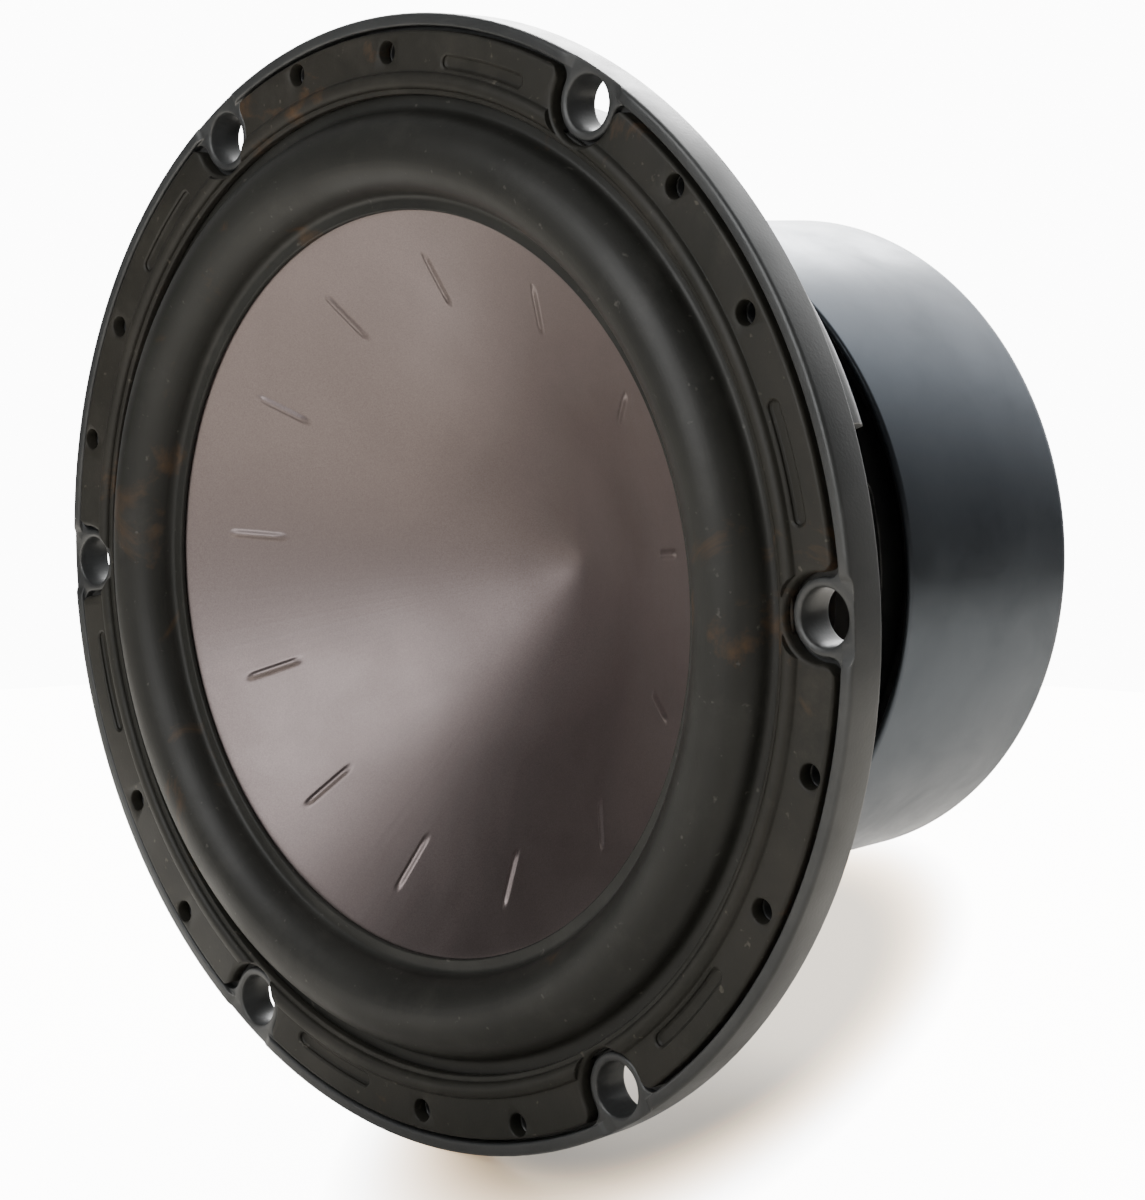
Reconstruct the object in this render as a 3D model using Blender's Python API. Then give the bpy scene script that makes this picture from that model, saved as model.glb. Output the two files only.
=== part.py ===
"""Ten-inch car subwoofer: cast basket, rubber surround, one-piece cone, motor and push terminals.

The speaker's axis is Y. The cone faces -Y, the motor points to +Y and Z is up. The origin is the centre of
the plane where the flange's rear face meets the panel that it is screwed to. Lengths are in millimetres
here and become metres in the meshes. Angles are in degrees, clockwise from the top as seen from the front.
"""

import math

import bmesh
import bpy
from mathutils import Matrix, Vector

MM = 0.001
GAP = 0.3

# Flange and the parts that lie on it
SCREW_CIRCLE = 128.0
FIRST_SCREW_ANGLE = 28.0
SCREW_COUNT = 6
SCREW_HOLE = 6.3
SMALL_HOLE = 2.7
SMALL_HOLE_PLACES = ((15.0, 128.8), (30.0, 127.2))
BOSS_RADIUS = 8.5
RIM_RADIUS = 136.2
LIP_INNER = 133.1
THROAT = 111.0
FLOOR_Y = -7.1
LIP_Y = -10.2
BOSS_Y = -9.2

# Trim gasket
GASKET_INNER = 117.0
GASKET_OUTER = 132.1
GASKET_Y = -10.9
BEAD_RADIUS = 120.3
BEAD_HALF_WIDTH = 2.0
BEAD_RISE = 1.5
NOTCH_RADIUS = 9.6
SLOT_DEPTH = 1.2
SLOT_HALF_ANGLE = 6.2

# Surround and cone
SURROUND_THICK = 1.2
SURROUND_OUTER = 119.0
SURROUND_LEVEL = -8.0
ROLL_CENTRE = 103.5
ROLL_RADIUS = 9.35
SURROUND_INNER = 89.8
CONE_LIP_OUTER = 93.3
CONE_EDGE = 90.0
CONE_APEX_Y = 51.96
CONE_SLOPE = 0.6552
CONE_TIP_ROUND = 5.0
CONE_THICK_Y = 1.55
CONE_LIP_THICK = 1.4

# Basket behind the flange
SKIRT_OUTER = 119.0
SKIRT_WALL = 4.8
SKIRT_REAR = 27.0
LANDING_Y = 57.0
LANDING_INNER = 63.0
LANDING_OUTER = 80.0
LANDING_THICK = 4.5
SEAT_Y = 77.0
SEAT_INNER = 50.0
SEAT_OUTER = 77.0
ARM_PAIR_ANGLE = 30.5
WINDOW_ANGLE = 90.5
WINDOW_HALF_FRONT = 21.5
WINDOW_HALF_REAR = 26.5
NARROW_HALF = 15.5
LOW_WINDOW_HALF = 19.0
WINDOW_CORNER = 7.0
LOW_WINDOW_CORNER = 4.0

# Voice coil and spider
FORMER_INNER = 25.0
FORMER_OUTER = 25.5
COIL_OUTER = 27.2
COIL_FRONT = 74.0
COIL_REAR = 104.0
SPIDER_Y = 56.25
SPIDER_THICK = 0.9
SPIDER_NECK = 29.5
SPIDER_OUTER = 71.0
SPIDER_WAVE = 2.6
SPIDER_ROLLS = 3

# Motor
TOP_PLATE_Y = 84.0
TOP_PLATE_REAR = 93.7
MAGNET_REAR = (110.7, 127.7)
YOKE_REAR = 137.6
PLATE_OUTER = 81.5
MAGNET_OUTER = 84.0
MAGNET_INNER = 34.2
GAP_BORE = 28.0
POLE_RADIUS = 24.3
VENT_RADIUS = 9.0
VENT_FLARE = 14.0
SCREEN_RADIUS = 17.0
SCREEN_HOLE = 2.4
SCREEN_HOLE_CIRCLE = 8.0
MOTOR_BOLT_CIRCLE = 58.0
MOTOR_BOLT_ANGLES = [0.5 + 60.0 * i for i in range(6)]
MOTOR_BOLT_HOLE = 2.8
COVER_INNER = 84.8
COVER_OUTER = 87.0
COVER_FRONT = 73.7
COVER_REAR = 140.6
COVER_LIP_INNER = 70.0

# Push terminals: each block stands on a tab of the landing ring
TERMINAL_ANGLES = {"left": 330.5, "right": 210.5}
TAB_OUTER = 109.0
TAB_HALF_WIDTH = 23.0
BLOCK_CENTRE = 97.5
BLOCK_HALF_WIDTH = 21.0
BLOCK_HALF_DEPTH = 9.5
BLOCK_FRONT = LANDING_Y + LANDING_THICK + GAP
BLOCK_REAR = 76.0
BUTTON_SPACING = 10.0
BUTTON_RADIUS = 4.4
BUTTON_BORE = 4.8
BUTTON_FRONT = 69.5
BUTTON_REAR = 82.0
BORE_FLOOR = BLOCK_FRONT + 1.4
WIRE_HOLE = 1.7
WIRE_HOLE_Y = 70.8
BLOCK_SCREW_X = 17.6
BLOCK_SCREW_HOLE = 1.7

FINE = 40
MEDIUM = 24
SMALL = 12


def clear_scene():
    for obj in list(bpy.data.objects):
        bpy.data.objects.remove(obj)


def material(name, colour, roughness, metallic=0.0):
    made = bpy.data.materials.new(name)
    made.use_nodes = True
    shader = made.node_tree.nodes["Principled BSDF"]
    shader.inputs["Base Color"].default_value = (*colour, 1.0)
    shader.inputs["Roughness"].default_value = roughness
    shader.inputs["Metallic"].default_value = metallic
    return made


def arc(centre, radius, start, end, pieces):
    """Points round a centre, from one angle to another, measured from +radius towards +Y."""
    points = []
    for i in range(pieces + 1):
        angle = math.radians(start + (end - start) * i / pieces)
        points.append((centre[0] + radius * math.cos(angle), centre[1] + radius * math.sin(angle)))
    return points


def turned_mesh(profile, steps):
    """A closed (radius, y) outline turned round the Y axis. Points on the axis become one vertex each."""
    bm = bmesh.new()
    rings = []
    for radius, y in profile:
        if radius < 1e-6:
            rings.append([bm.verts.new((0.0, y * MM, 0.0))] * steps)
            continue
        ring = []
        for i in range(steps):
            angle = 2 * math.pi * i / steps
            ring.append(bm.verts.new((radius * math.sin(angle) * MM, y * MM, radius * math.cos(angle) * MM)))
        rings.append(ring)
    for k, ring in enumerate(rings):
        after = rings[(k + 1) % len(rings)]
        for i in range(steps):
            j = (i + 1) % steps
            corners = []
            for vert in (ring[i], ring[j], after[j], after[i]):
                if vert not in corners:
                    corners.append(vert)
            if len(corners) > 2:
                bm.faces.new(corners)
    bmesh.ops.recalc_face_normals(bm, faces=bm.faces)
    return bm


def prism(outline, low, high):
    """A closed outline in X and Z, extruded along Y from low to high."""
    bm = bmesh.new()
    verts = [bm.verts.new((x * MM, low * MM, z * MM)) for x, z in outline]
    face = bm.faces.new(verts)
    out = bmesh.ops.extrude_face_region(bm, geom=[face])
    moved = [item for item in out["geom"] if isinstance(item, bmesh.types.BMVert)]
    bmesh.ops.translate(bm, verts=moved, vec=Vector((0.0, (high - low) * MM, 0.0)))
    bmesh.ops.recalc_face_normals(bm, faces=bm.faces)
    return bm


def circle_outline(radius, steps, centre=(0.0, 0.0)):
    points = []
    for i in range(steps):
        angle = 2 * math.pi * i / steps
        points.append((centre[0] + radius * math.sin(angle), centre[1] + radius * math.cos(angle)))
    return points


def u_outline(radius, reach, steps=10):
    """A half circle below the origin whose sides run straight up to z = reach."""
    points = [(radius, reach), (-radius, reach)]
    for i in range(steps + 1):
        angle = math.pi * (1.0 + i / steps)
        points.append((radius * math.cos(angle), radius * math.sin(angle)))
    return points


def rounded_outline(half_x, low_z, high_z, corner, pieces=2):
    points = []
    middle_z = (low_z + high_z) / 2
    half_z = (high_z - low_z) / 2
    for quarter in range(4):
        side_x = 1 if quarter in (0, 3) else -1
        side_z = 1 if quarter in (0, 1) else -1
        centre_x = side_x * (half_x - corner)
        centre_z = middle_z + side_z * (half_z - corner)
        for i in range(pieces + 1):
            angle = math.radians(90 * quarter + 90 * i / pieces)
            points.append((centre_x + corner * math.cos(angle), centre_z + corner * math.sin(angle)))
    return points


def turn_about_axis(bm, angle):
    """Turns the mesh clockwise, seen from the front, about the speaker's axis."""
    bmesh.ops.rotate(bm, verts=bm.verts, cent=(0, 0, 0), matrix=Matrix.Rotation(math.radians(angle), 3, "Y"))


def joined(parts):
    """One bmesh that holds all the parts, as separate bodies."""
    whole = bmesh.new()
    for part in parts:
        piece = bpy.data.meshes.new("piece")
        part.to_mesh(piece)
        part.free()
        whole.from_mesh(piece)
        bpy.data.meshes.remove(piece)
    return whole


def around(make, angles):
    """The shape that make() returns, made at the top and turned to each angle."""
    parts = []
    for angle in angles:
        bm = make()
        turn_about_axis(bm, angle)
        parts.append(bm)
    return joined(parts)


def add_object(name, bm, surface=None, smooth=True):
    mesh = bpy.data.meshes.new(name)
    bm.to_mesh(mesh)
    bm.free()
    obj = bpy.data.objects.new(name, mesh)
    bpy.context.scene.collection.objects.link(obj)
    if surface:
        mesh.materials.append(surface)
    if smooth:
        mesh.shade_smooth()
        mesh.set_sharp_from_angle(angle=math.radians(30))
    return obj


def combine(obj, name, bm, operation):
    """Adds or cuts a helper shape, which itself stays out of the model. Returns the helper."""
    helper = add_object(name, bm, smooth=False)
    helper.hide_render = True
    helper.display_type = "WIRE"
    modifier = obj.modifiers.new(name, "BOOLEAN")
    modifier.operation = operation
    modifier.solver = "EXACT"
    modifier.object = helper
    return helper


def cut(obj, name, bm):
    return combine(obj, name, bm, "DIFFERENCE")


def add_shape(obj, name, bm):
    return combine(obj, name, bm, "UNION")


def screw_angles():
    return [FIRST_SCREW_ANGLE + 360 / SCREW_COUNT * i for i in range(SCREW_COUNT)]


def small_holes(low, high):
    """Two small holes follow each mounting hole, 15 degrees apart. A slot takes the next place."""
    parts = []
    for step, circle in SMALL_HOLE_PLACES:
        angles = [angle + step for angle in screw_angles()]
        parts.append(around(hole_at(circle, SMALL_HOLE, low, high, 8), angles))
    return joined(parts)


def slot_angles():
    return [angle + 45.0 for angle in screw_angles()]


def hole_at(radius_from_axis, radius, low, high, steps=SMALL):
    return lambda: prism(circle_outline(radius, steps, (0.0, radius_from_axis)), low, high)


def boss_shape(low, high, radius, reach):
    """A U open to the rim: round towards the axis and straight towards the outside."""

    def make():
        bm = prism(u_outline(radius, reach), low, high)
        bmesh.ops.translate(bm, verts=bm.verts, vec=(0.0, 0.0, SCREW_CIRCLE * MM))
        return bm

    return make


def window_shape(half_angle, low_y, high_y, inner, outer, corner):
    """A wedge that widens outwards, for a window with rounded corners in the basket's wall."""

    def make():
        bm = bmesh.new()
        ends = []
        for radius in (inner, outer):
            half_width = radius * math.tan(math.radians(half_angle))
            outline = rounded_outline(half_width, low_y, high_y, min(corner, half_width * 0.6))
            ends.append([bm.verts.new((x * MM, y * MM, radius * MM)) for x, y in outline])
        count = len(ends[0])
        for i in range(count):
            j = (i + 1) % count
            bm.faces.new((ends[0][i], ends[0][j], ends[1][j], ends[1][i]))
        bm.faces.new(ends[0])
        bm.faces.new(list(reversed(ends[1])))
        bmesh.ops.recalc_face_normals(bm, faces=bm.faces)
        return bm

    return make


def basket_profile():
    wall = SKIRT_WALL
    landing_rear = LANDING_Y + LANDING_THICK
    return [
        (RIM_RADIUS, LIP_Y + 0.8),
        (RIM_RADIUS, 0.0),
        (SKIRT_OUTER, 0.0),
        (SKIRT_OUTER - 1.5, SKIRT_REAR),
        (LANDING_OUTER, LANDING_Y),
        (LANDING_OUTER, landing_rear),
        (SEAT_OUTER, SEAT_Y - 8.0),
        (SEAT_OUTER, TOP_PLATE_Y - GAP),
        (SEAT_INNER, TOP_PLATE_Y - GAP),
        (SEAT_INNER, SEAT_Y),
        (SEAT_OUTER - wall, SEAT_Y),
        (SEAT_OUTER - wall, landing_rear),
        (LANDING_INNER, landing_rear),
        (LANDING_INNER, LANDING_Y),
        (LANDING_OUTER - wall, LANDING_Y),
        (SKIRT_OUTER - 1.5 - wall, SKIRT_REAR - 2.0),
        (SKIRT_OUTER - wall, 2.0),
        (THROAT, -3.0),
        (THROAT, FLOOR_Y),
        (LIP_INNER, FLOOR_Y),
        (LIP_INNER, LIP_Y),
        (RIM_RADIUS - 0.8, LIP_Y),
    ]


def terminal_tab():
    """The flat ledge that a terminal block stands on, with its root inside the landing ring."""
    outline = [
        (-TAB_HALF_WIDTH, LANDING_OUTER - 8.0),
        (TAB_HALF_WIDTH, LANDING_OUTER - 8.0),
        (TAB_HALF_WIDTH, TAB_OUTER - 4.0),
        (TAB_HALF_WIDTH - 4.0, TAB_OUTER),
        (-TAB_HALF_WIDTH + 4.0, TAB_OUTER),
        (-TAB_HALF_WIDTH, TAB_OUTER - 4.0),
    ]
    return prism(outline, LANDING_Y + 0.5, LANDING_Y + LANDING_THICK)


def block_screw_holes(low, high):
    def make():
        parts = []
        for side in (-1, 1):
            outline = circle_outline(BLOCK_SCREW_HOLE, 8, (side * BLOCK_SCREW_X, BLOCK_CENTRE))
            parts.append(prism(outline, low, high))
        return joined(parts)

    return make


def build_basket(surface):
    basket = add_object("basket", turned_mesh(basket_profile(), FINE), surface)
    arm_windows = [WINDOW_ANGLE + 120 * i for i in range(3)]
    pair_windows = [ARM_PAIR_ANGLE + 120 * i for i in range(3)]
    low_windows = [ARM_PAIR_ANGLE + 60 * i for i in range(6)]
    window_rear = LANDING_Y - 6.0
    cut(basket, "window_notches", around(
        window_shape(WINDOW_HALF_FRONT, 3.0, SKIRT_REAR + 6.0, 95.0, 130.0, WINDOW_CORNER), arm_windows))
    cut(basket, "wide_windows", around(
        window_shape(WINDOW_HALF_REAR, SKIRT_REAR + 1.0, window_rear, 70.0, 130.0, WINDOW_CORNER), arm_windows))
    cut(basket, "narrow_windows", around(
        window_shape(NARROW_HALF, SKIRT_REAR + 3.0, window_rear, 70.0, 130.0, WINDOW_CORNER), pair_windows))
    cut(basket, "low_windows", around(
        window_shape(LOW_WINDOW_HALF, LANDING_Y + LANDING_THICK + 1.5, SEAT_Y - 2.0, 68.0, 90.0,
                     LOW_WINDOW_CORNER), low_windows))
    bosses = around(boss_shape(FLOOR_Y + 2.0, BOSS_Y, BOSS_RADIUS, LIP_INNER - SCREW_CIRCLE + 2.0),
                    screw_angles())
    add_shape(basket, "bosses", bosses)
    lip_gap = boss_shape(LIP_Y - 3.0, BOSS_Y, BOSS_RADIUS, 14.0)
    cut(basket, "lip_gaps", around(lip_gap, screw_angles()))
    cut(basket, "screw_holes", around(
        hole_at(SCREW_CIRCLE, SCREW_HOLE, BOSS_Y - 4.0, 4.0), screw_angles()))
    cut(basket, "blind_holes", small_holes(FLOOR_Y - 2.0, -1.5))
    add_shape(basket, "terminal_tabs", around(terminal_tab, TERMINAL_ANGLES.values()))
    cut(basket, "tab_screw_holes", around(
        block_screw_holes(LANDING_Y - 3.0, BLOCK_FRONT + 2.0), TERMINAL_ANGLES.values()))
    cut(basket, "motor_bolt_holes", around(
        hole_at(MOTOR_BOLT_CIRCLE, MOTOR_BOLT_HOLE, SEAT_Y - 3.0, TOP_PLATE_Y + 3.0, 8),
        MOTOR_BOLT_ANGLES))
    return basket


def build_gasket(surface):
    """The rubber ring that covers the screws' circle and holds the surround's edge down."""
    step = SURROUND_OUTER + GAP
    inner_floor = SURROUND_LEVEL - SURROUND_THICK / 2 - GAP
    bead = arc((BEAD_RADIUS, GASKET_Y), BEAD_HALF_WIDTH, 180, 360, 4)
    bead = [(r, GASKET_Y + (y - GASKET_Y) * BEAD_RISE / BEAD_HALF_WIDTH) for r, y in bead]
    profile = [
        (GASKET_INNER, inner_floor),
        (GASKET_INNER, GASKET_Y),
        *bead,
        (GASKET_OUTER - 0.6, GASKET_Y),
        (GASKET_OUTER, GASKET_Y + 0.6),
        (GASKET_OUTER, FLOOR_Y - GAP),
        (step, FLOOR_Y - GAP),
        (step, inner_floor),
    ]
    gasket = add_object("trim_gasket", turned_mesh(profile, FINE), surface)
    cut(gasket, "gasket_notches", around(
        boss_shape(GASKET_Y - 5.0, FLOOR_Y + 2.0, NOTCH_RADIUS, 12.0), screw_angles()))
    cut(gasket, "gasket_holes", small_holes(GASKET_Y - 2.0, FLOOR_Y + 2.0))
    cut(gasket, "gasket_slots", around(slot_shape, slot_angles()))
    return gasket


def slot_shape():
    """A shallow curved recess on the circle of the screws."""
    inner = SCREW_CIRCLE - 4.6
    outer = SCREW_CIRCLE - 1.4
    outline = []
    for radius, start, end in ((outer, -1, 1), (inner, 1, -1)):
        for i in range(7):
            angle = math.radians(SLOT_HALF_ANGLE * (start + (end - start) * i / 6))
            outline.append((radius * math.sin(angle), radius * math.cos(angle)))
    return prism(outline, GASKET_Y - 2.0, GASKET_Y + SLOT_DEPTH)


def build_surround(surface):
    """A half roll of rubber between a flat outer edge and a flat inner edge."""
    half = SURROUND_THICK / 2
    level = SURROUND_LEVEL
    front = arc((ROLL_CENTRE, level), ROLL_RADIUS + half, 180, 360, 7)
    rear = arc((ROLL_CENTRE, level), ROLL_RADIUS - half, 360, 180, 7)
    profile = [
        (SURROUND_INNER, level - half),
        (front[0][0] - 0.8, level - half),
        *front[1:-1],
        (front[-1][0] + 0.8, level - half),
        (SURROUND_OUTER, level - half),
        (SURROUND_OUTER, level + half),
        *rear,
        (SURROUND_INNER, level + half),
    ]
    return add_object("surround", turned_mesh(profile, FINE), surface)


def cone_front(radius):
    return CONE_APEX_Y - CONE_SLOPE * math.hypot(radius, CONE_TIP_ROUND)


def build_cone(surface):
    """A straight-sided dish with a small round tip and a flat lip under the surround's inner edge."""
    lip_front = SURROUND_LEVEL + SURROUND_THICK / 2 + GAP
    radii = [87.0, 60.0, 34.0, 16.0, 8.0, 3.5, 0.0]
    front = [(r, cone_front(r)) for r in radii]
    rear = [(r, cone_front(r) + CONE_THICK_Y) for r in reversed(radii)]
    profile = [
        (CONE_LIP_OUTER, lip_front),
        (CONE_EDGE, lip_front),
        *front,
        *rear,
        (CONE_EDGE + 0.4, lip_front + CONE_LIP_THICK),
        (CONE_LIP_OUTER, lip_front + CONE_LIP_THICK),
    ]
    return add_object("cone", turned_mesh(profile, FINE), surface)


def ring(name, inner, outer, front, rear, steps, surface, chamfer=0.0):
    profile = [(inner, front), (outer - chamfer, front), (outer, front + chamfer),
               (outer, rear - chamfer), (outer - chamfer, rear), (inner, rear)]
    if chamfer == 0.0:
        profile = [(inner, front), (outer, front), (outer, rear), (inner, rear)]
    return add_object(name, turned_mesh(profile, steps), surface)


def build_voice_coil(paper, copper, glue):
    neck = cone_front(FORMER_OUTER) + CONE_THICK_Y
    middle = (COIL_FRONT + COIL_REAR) / 2
    ring("coil_former", FORMER_INNER, FORMER_OUTER, neck + 1.0, COIL_REAR + 1.0, MEDIUM, paper)
    ring("voice_coil_a", FORMER_OUTER + GAP, COIL_OUTER, COIL_FRONT, middle - GAP / 2, MEDIUM, copper)
    ring("voice_coil_b", FORMER_OUTER + GAP, COIL_OUTER, middle + GAP / 2, COIL_REAR, MEDIUM, copper)
    near = FORMER_OUTER + GAP
    profile = []
    for radius in (near, 30.0, 34.0):
        profile.append((radius, cone_front(radius) + CONE_THICK_Y + 2 * GAP))
    profile += [(34.0, 36.0), (30.0, 40.0), (28.5, 49.0), (near, 49.0)]
    add_object("neck_coupler", turned_mesh(profile, MEDIUM), glue)


def build_spider(cloth, board):
    """A flat waved ring that centres the coil, and the ring that clamps its outer edge."""
    inner = FORMER_OUTER + GAP
    outer_flat = LANDING_INNER - 1.0
    count = SPIDER_ROLLS * 4
    wave = []
    for i in range(count + 1):
        radius = SPIDER_NECK + (outer_flat - SPIDER_NECK) * i / count
        wave.append((radius, SPIDER_Y + SPIDER_WAVE * math.sin(2 * math.pi * SPIDER_ROLLS * i / count)))
    line = [(inner, SPIDER_Y), *wave, (SPIDER_OUTER, SPIDER_Y)]
    half = SPIDER_THICK / 2
    profile = [(r, y - half) for r, y in line] + [(r, y + half) for r, y in reversed(line)]
    add_object("spider", turned_mesh(profile, MEDIUM), cloth)
    front = SPIDER_Y - half - GAP
    ring("spider_clamp_ring", LANDING_INNER + 1.0, SPIDER_OUTER, front - 2.2, front, MEDIUM, board)


def build_motor(steel, ferrite, aluminium, mesh_steel):
    plate = ring("top_plate", GAP_BORE, PLATE_OUTER, TOP_PLATE_Y, TOP_PLATE_REAR, FINE, steel, 0.8)
    cut(plate, "plate_bolt_holes", around(
        hole_at(MOTOR_BOLT_CIRCLE, MOTOR_BOLT_HOLE, TOP_PLATE_Y - 3.0, TOP_PLATE_REAR + 3.0, 8),
        MOTOR_BOLT_ANGLES))
    front = TOP_PLATE_REAR + GAP
    for name, rear in zip(("magnet_front", "magnet_rear"), MAGNET_REAR):
        ring(name, MAGNET_INNER, MAGNET_OUTER, front, rear, FINE, ferrite, 1.2)
        front = rear + GAP
    ring("shorting_ring", GAP_BORE + 0.7, MAGNET_INNER - 0.7, TOP_PLATE_REAR + 4.0, front - GAP, MEDIUM,
         aluminium)
    counterbore = SCREEN_RADIUS + GAP
    profile = [
        (VENT_RADIUS, TOP_PLATE_Y),
        (POLE_RADIUS - 1.0, TOP_PLATE_Y),
        (POLE_RADIUS, TOP_PLATE_Y + 1.0),
        (POLE_RADIUS, front),
        (PLATE_OUTER - 0.8, front),
        (PLATE_OUTER, front + 0.8),
        (PLATE_OUTER, YOKE_REAR - 0.8),
        (PLATE_OUTER - 0.8, YOKE_REAR),
        (counterbore, YOKE_REAR),
        (counterbore, YOKE_REAR - 1.6),
        (VENT_FLARE, YOKE_REAR - 1.6),
        (VENT_RADIUS + 1.5, YOKE_REAR - 6.0),
        (VENT_RADIUS, YOKE_REAR - 14.0),
    ]
    add_object("yoke", turned_mesh(profile, MEDIUM), steel)
    screen_profile = [(0.0, YOKE_REAR - 1.3), (SCREEN_RADIUS, YOKE_REAR - 1.3),
                      (SCREEN_RADIUS, YOKE_REAR - 0.3), (0.0, YOKE_REAR - 0.3)]
    screen = add_object("vent_screen", turned_mesh(screen_profile, SMALL), mesh_steel)
    middle = hole_at(0.0, SCREEN_HOLE, YOKE_REAR - 3.0, YOKE_REAR + 2.0, 8)
    others = hole_at(SCREEN_HOLE_CIRCLE, SCREEN_HOLE, YOKE_REAR - 3.0, YOKE_REAR + 2.0, 8)
    cut(screen, "screen_holes", joined([middle(), around(others, [60 * i for i in range(6)])]))


def build_cover(surface):
    """The deep cup that hides the motor's sides. It is open in front and has a rim at the rear."""
    bend = 4.0
    wall = COVER_OUTER - COVER_INNER
    outer = arc((COVER_OUTER - bend, COVER_REAR - bend), bend, 0, 90, 3)
    inner = arc((COVER_OUTER - bend, COVER_REAR - bend), bend - wall, 90, 0, 2)
    profile = [
        (COVER_INNER, COVER_FRONT),
        (COVER_OUTER - 0.5, COVER_FRONT),
        (COVER_OUTER, COVER_FRONT + 0.5),
        *outer,
        (COVER_LIP_INNER, COVER_REAR),
        (COVER_LIP_INNER, COVER_REAR - wall),
        *inner,
    ]
    return add_object("motor_cover", turned_mesh(profile, FINE), surface)


def bolt_mesh(head_radius, head_height, shank_radius, length, socket_radius, steps=8):
    """A round-headed bolt along +Y from under its head, with a socket in the head."""
    profile = [
        (0.0, -head_height * 0.45),
        (socket_radius, -head_height * 0.45),
        (socket_radius, -head_height),
        (head_radius * 0.8, -head_height),
        (head_radius, -head_height * 0.6),
        (head_radius, 0.0),
        (shank_radius, 0.0),
        (shank_radius, length - shank_radius * 0.5),
        (shank_radius * 0.5, length),
        (0.0, length),
    ]
    return turned_mesh(profile, steps)


def place(obj, angle, radius, y, offset=0.0):
    """Puts an object made round its own Y axis at a radius and an angle; offset runs clockwise."""
    turn = Matrix.Rotation(math.radians(angle), 4, "Y")
    where = turn @ Vector((offset * MM, y * MM, radius * MM))
    obj.matrix_world = Matrix.Translation(where) @ turn
    return obj


def build_motor_bolts(surface):
    for number, angle in enumerate(MOTOR_BOLT_ANGLES, 1):
        bolt = add_object(f"motor_bolt_{number}", bolt_mesh(4.6, 3.2, 2.4, 15.5, 2.0), surface)
        place(bolt, angle, MOTOR_BOLT_CIRCLE, SEAT_Y - GAP)


def box(half_x, low_y, high_y, low_z, high_z):
    outline = [(-half_x, low_z), (half_x, low_z), (half_x, high_z), (-half_x, high_z)]
    return prism(outline, low_y, high_y)


def build_terminal_block(side, angle, surface):
    """Block with two bores for the buttons, open to the rear, and a wire hole into each from outside."""
    length = BLOCK_REAR - BLOCK_FRONT
    outline = rounded_outline(BLOCK_HALF_WIDTH, -BLOCK_HALF_DEPTH, BLOCK_HALF_DEPTH, 3.0)
    block = add_object(f"terminal_block_{side}", prism(outline, 0.0, length), surface)
    bores = []
    wires = []
    screws = []
    for way in (-1, 1):
        centre = (way * BUTTON_SPACING, 0.0)
        bores.append(prism(circle_outline(BUTTON_BORE, SMALL, centre), BORE_FLOOR - BLOCK_FRONT, length + 3))
        wire = prism(circle_outline(WIRE_HOLE, 8), 0.0, BLOCK_HALF_DEPTH + 3.0)
        shift = Vector((way * BUTTON_SPACING * MM, (WIRE_HOLE_Y - BLOCK_FRONT) * MM, 0.0))
        bmesh.ops.rotate(wire, verts=wire.verts, cent=(0, 0, 0), matrix=Matrix.Rotation(math.pi / 2, 3, "X"))
        bmesh.ops.translate(wire, verts=wire.verts, vec=shift)
        wires.append(wire)
        hole = circle_outline(BLOCK_SCREW_HOLE, 8, (way * BLOCK_SCREW_X, 0.0))
        screws.append(prism(hole, -3.0, length + 3.0))
    place(block, angle, BLOCK_CENTRE, BLOCK_FRONT)
    for kind, parts in (("bores", bores), ("wire_holes", wires), ("block_screw_holes", screws)):
        helper = cut(block, f"{kind}_{side}", joined(parts))
        place(helper, angle, BLOCK_CENTRE, BLOCK_FRONT)


def button_mesh():
    """A plunger with a wider round cap edge and a cross hole for the wire."""
    length = BUTTON_REAR - BUTTON_FRONT
    profile = [
        (0.0, 0.0),
        (BUTTON_RADIUS - 0.5, 0.0),
        (BUTTON_RADIUS, 0.5),
        (BUTTON_RADIUS, length - 1.2),
        (BUTTON_RADIUS - 1.2, length),
        (0.0, length - 0.4),
    ]
    return turned_mesh(profile, SMALL)


def spring_mesh(radius, wire, turns, length):
    """A round-wire helix along +Y with flat end faces."""
    sides = 4
    per_turn = 8
    count = turns * per_turn
    bm = bmesh.new()
    rings = []
    for i in range(count + 1):
        angle = 2 * math.pi * i / per_turn
        rise = wire + (length - 2 * wire) * i / count
        outward = Vector((math.cos(angle), 0.0, math.sin(angle)))
        centre = outward * radius + Vector((0.0, rise, 0.0))
        loop = []
        for k in range(sides):
            way = 2 * math.pi * (k + 0.5) / sides
            point = centre + outward * wire * math.cos(way) + Vector((0.0, wire * math.sin(way), 0.0))
            loop.append(bm.verts.new(point * MM))
        rings.append(loop)
    for first, second in zip(rings, rings[1:]):
        for k in range(sides):
            bm.faces.new((first[k], first[(k + 1) % sides], second[(k + 1) % sides], second[k]))
    bm.faces.new(rings[0])
    bm.faces.new(rings[-1])
    bmesh.ops.recalc_face_normals(bm, faces=bm.faces)
    return bm


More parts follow.
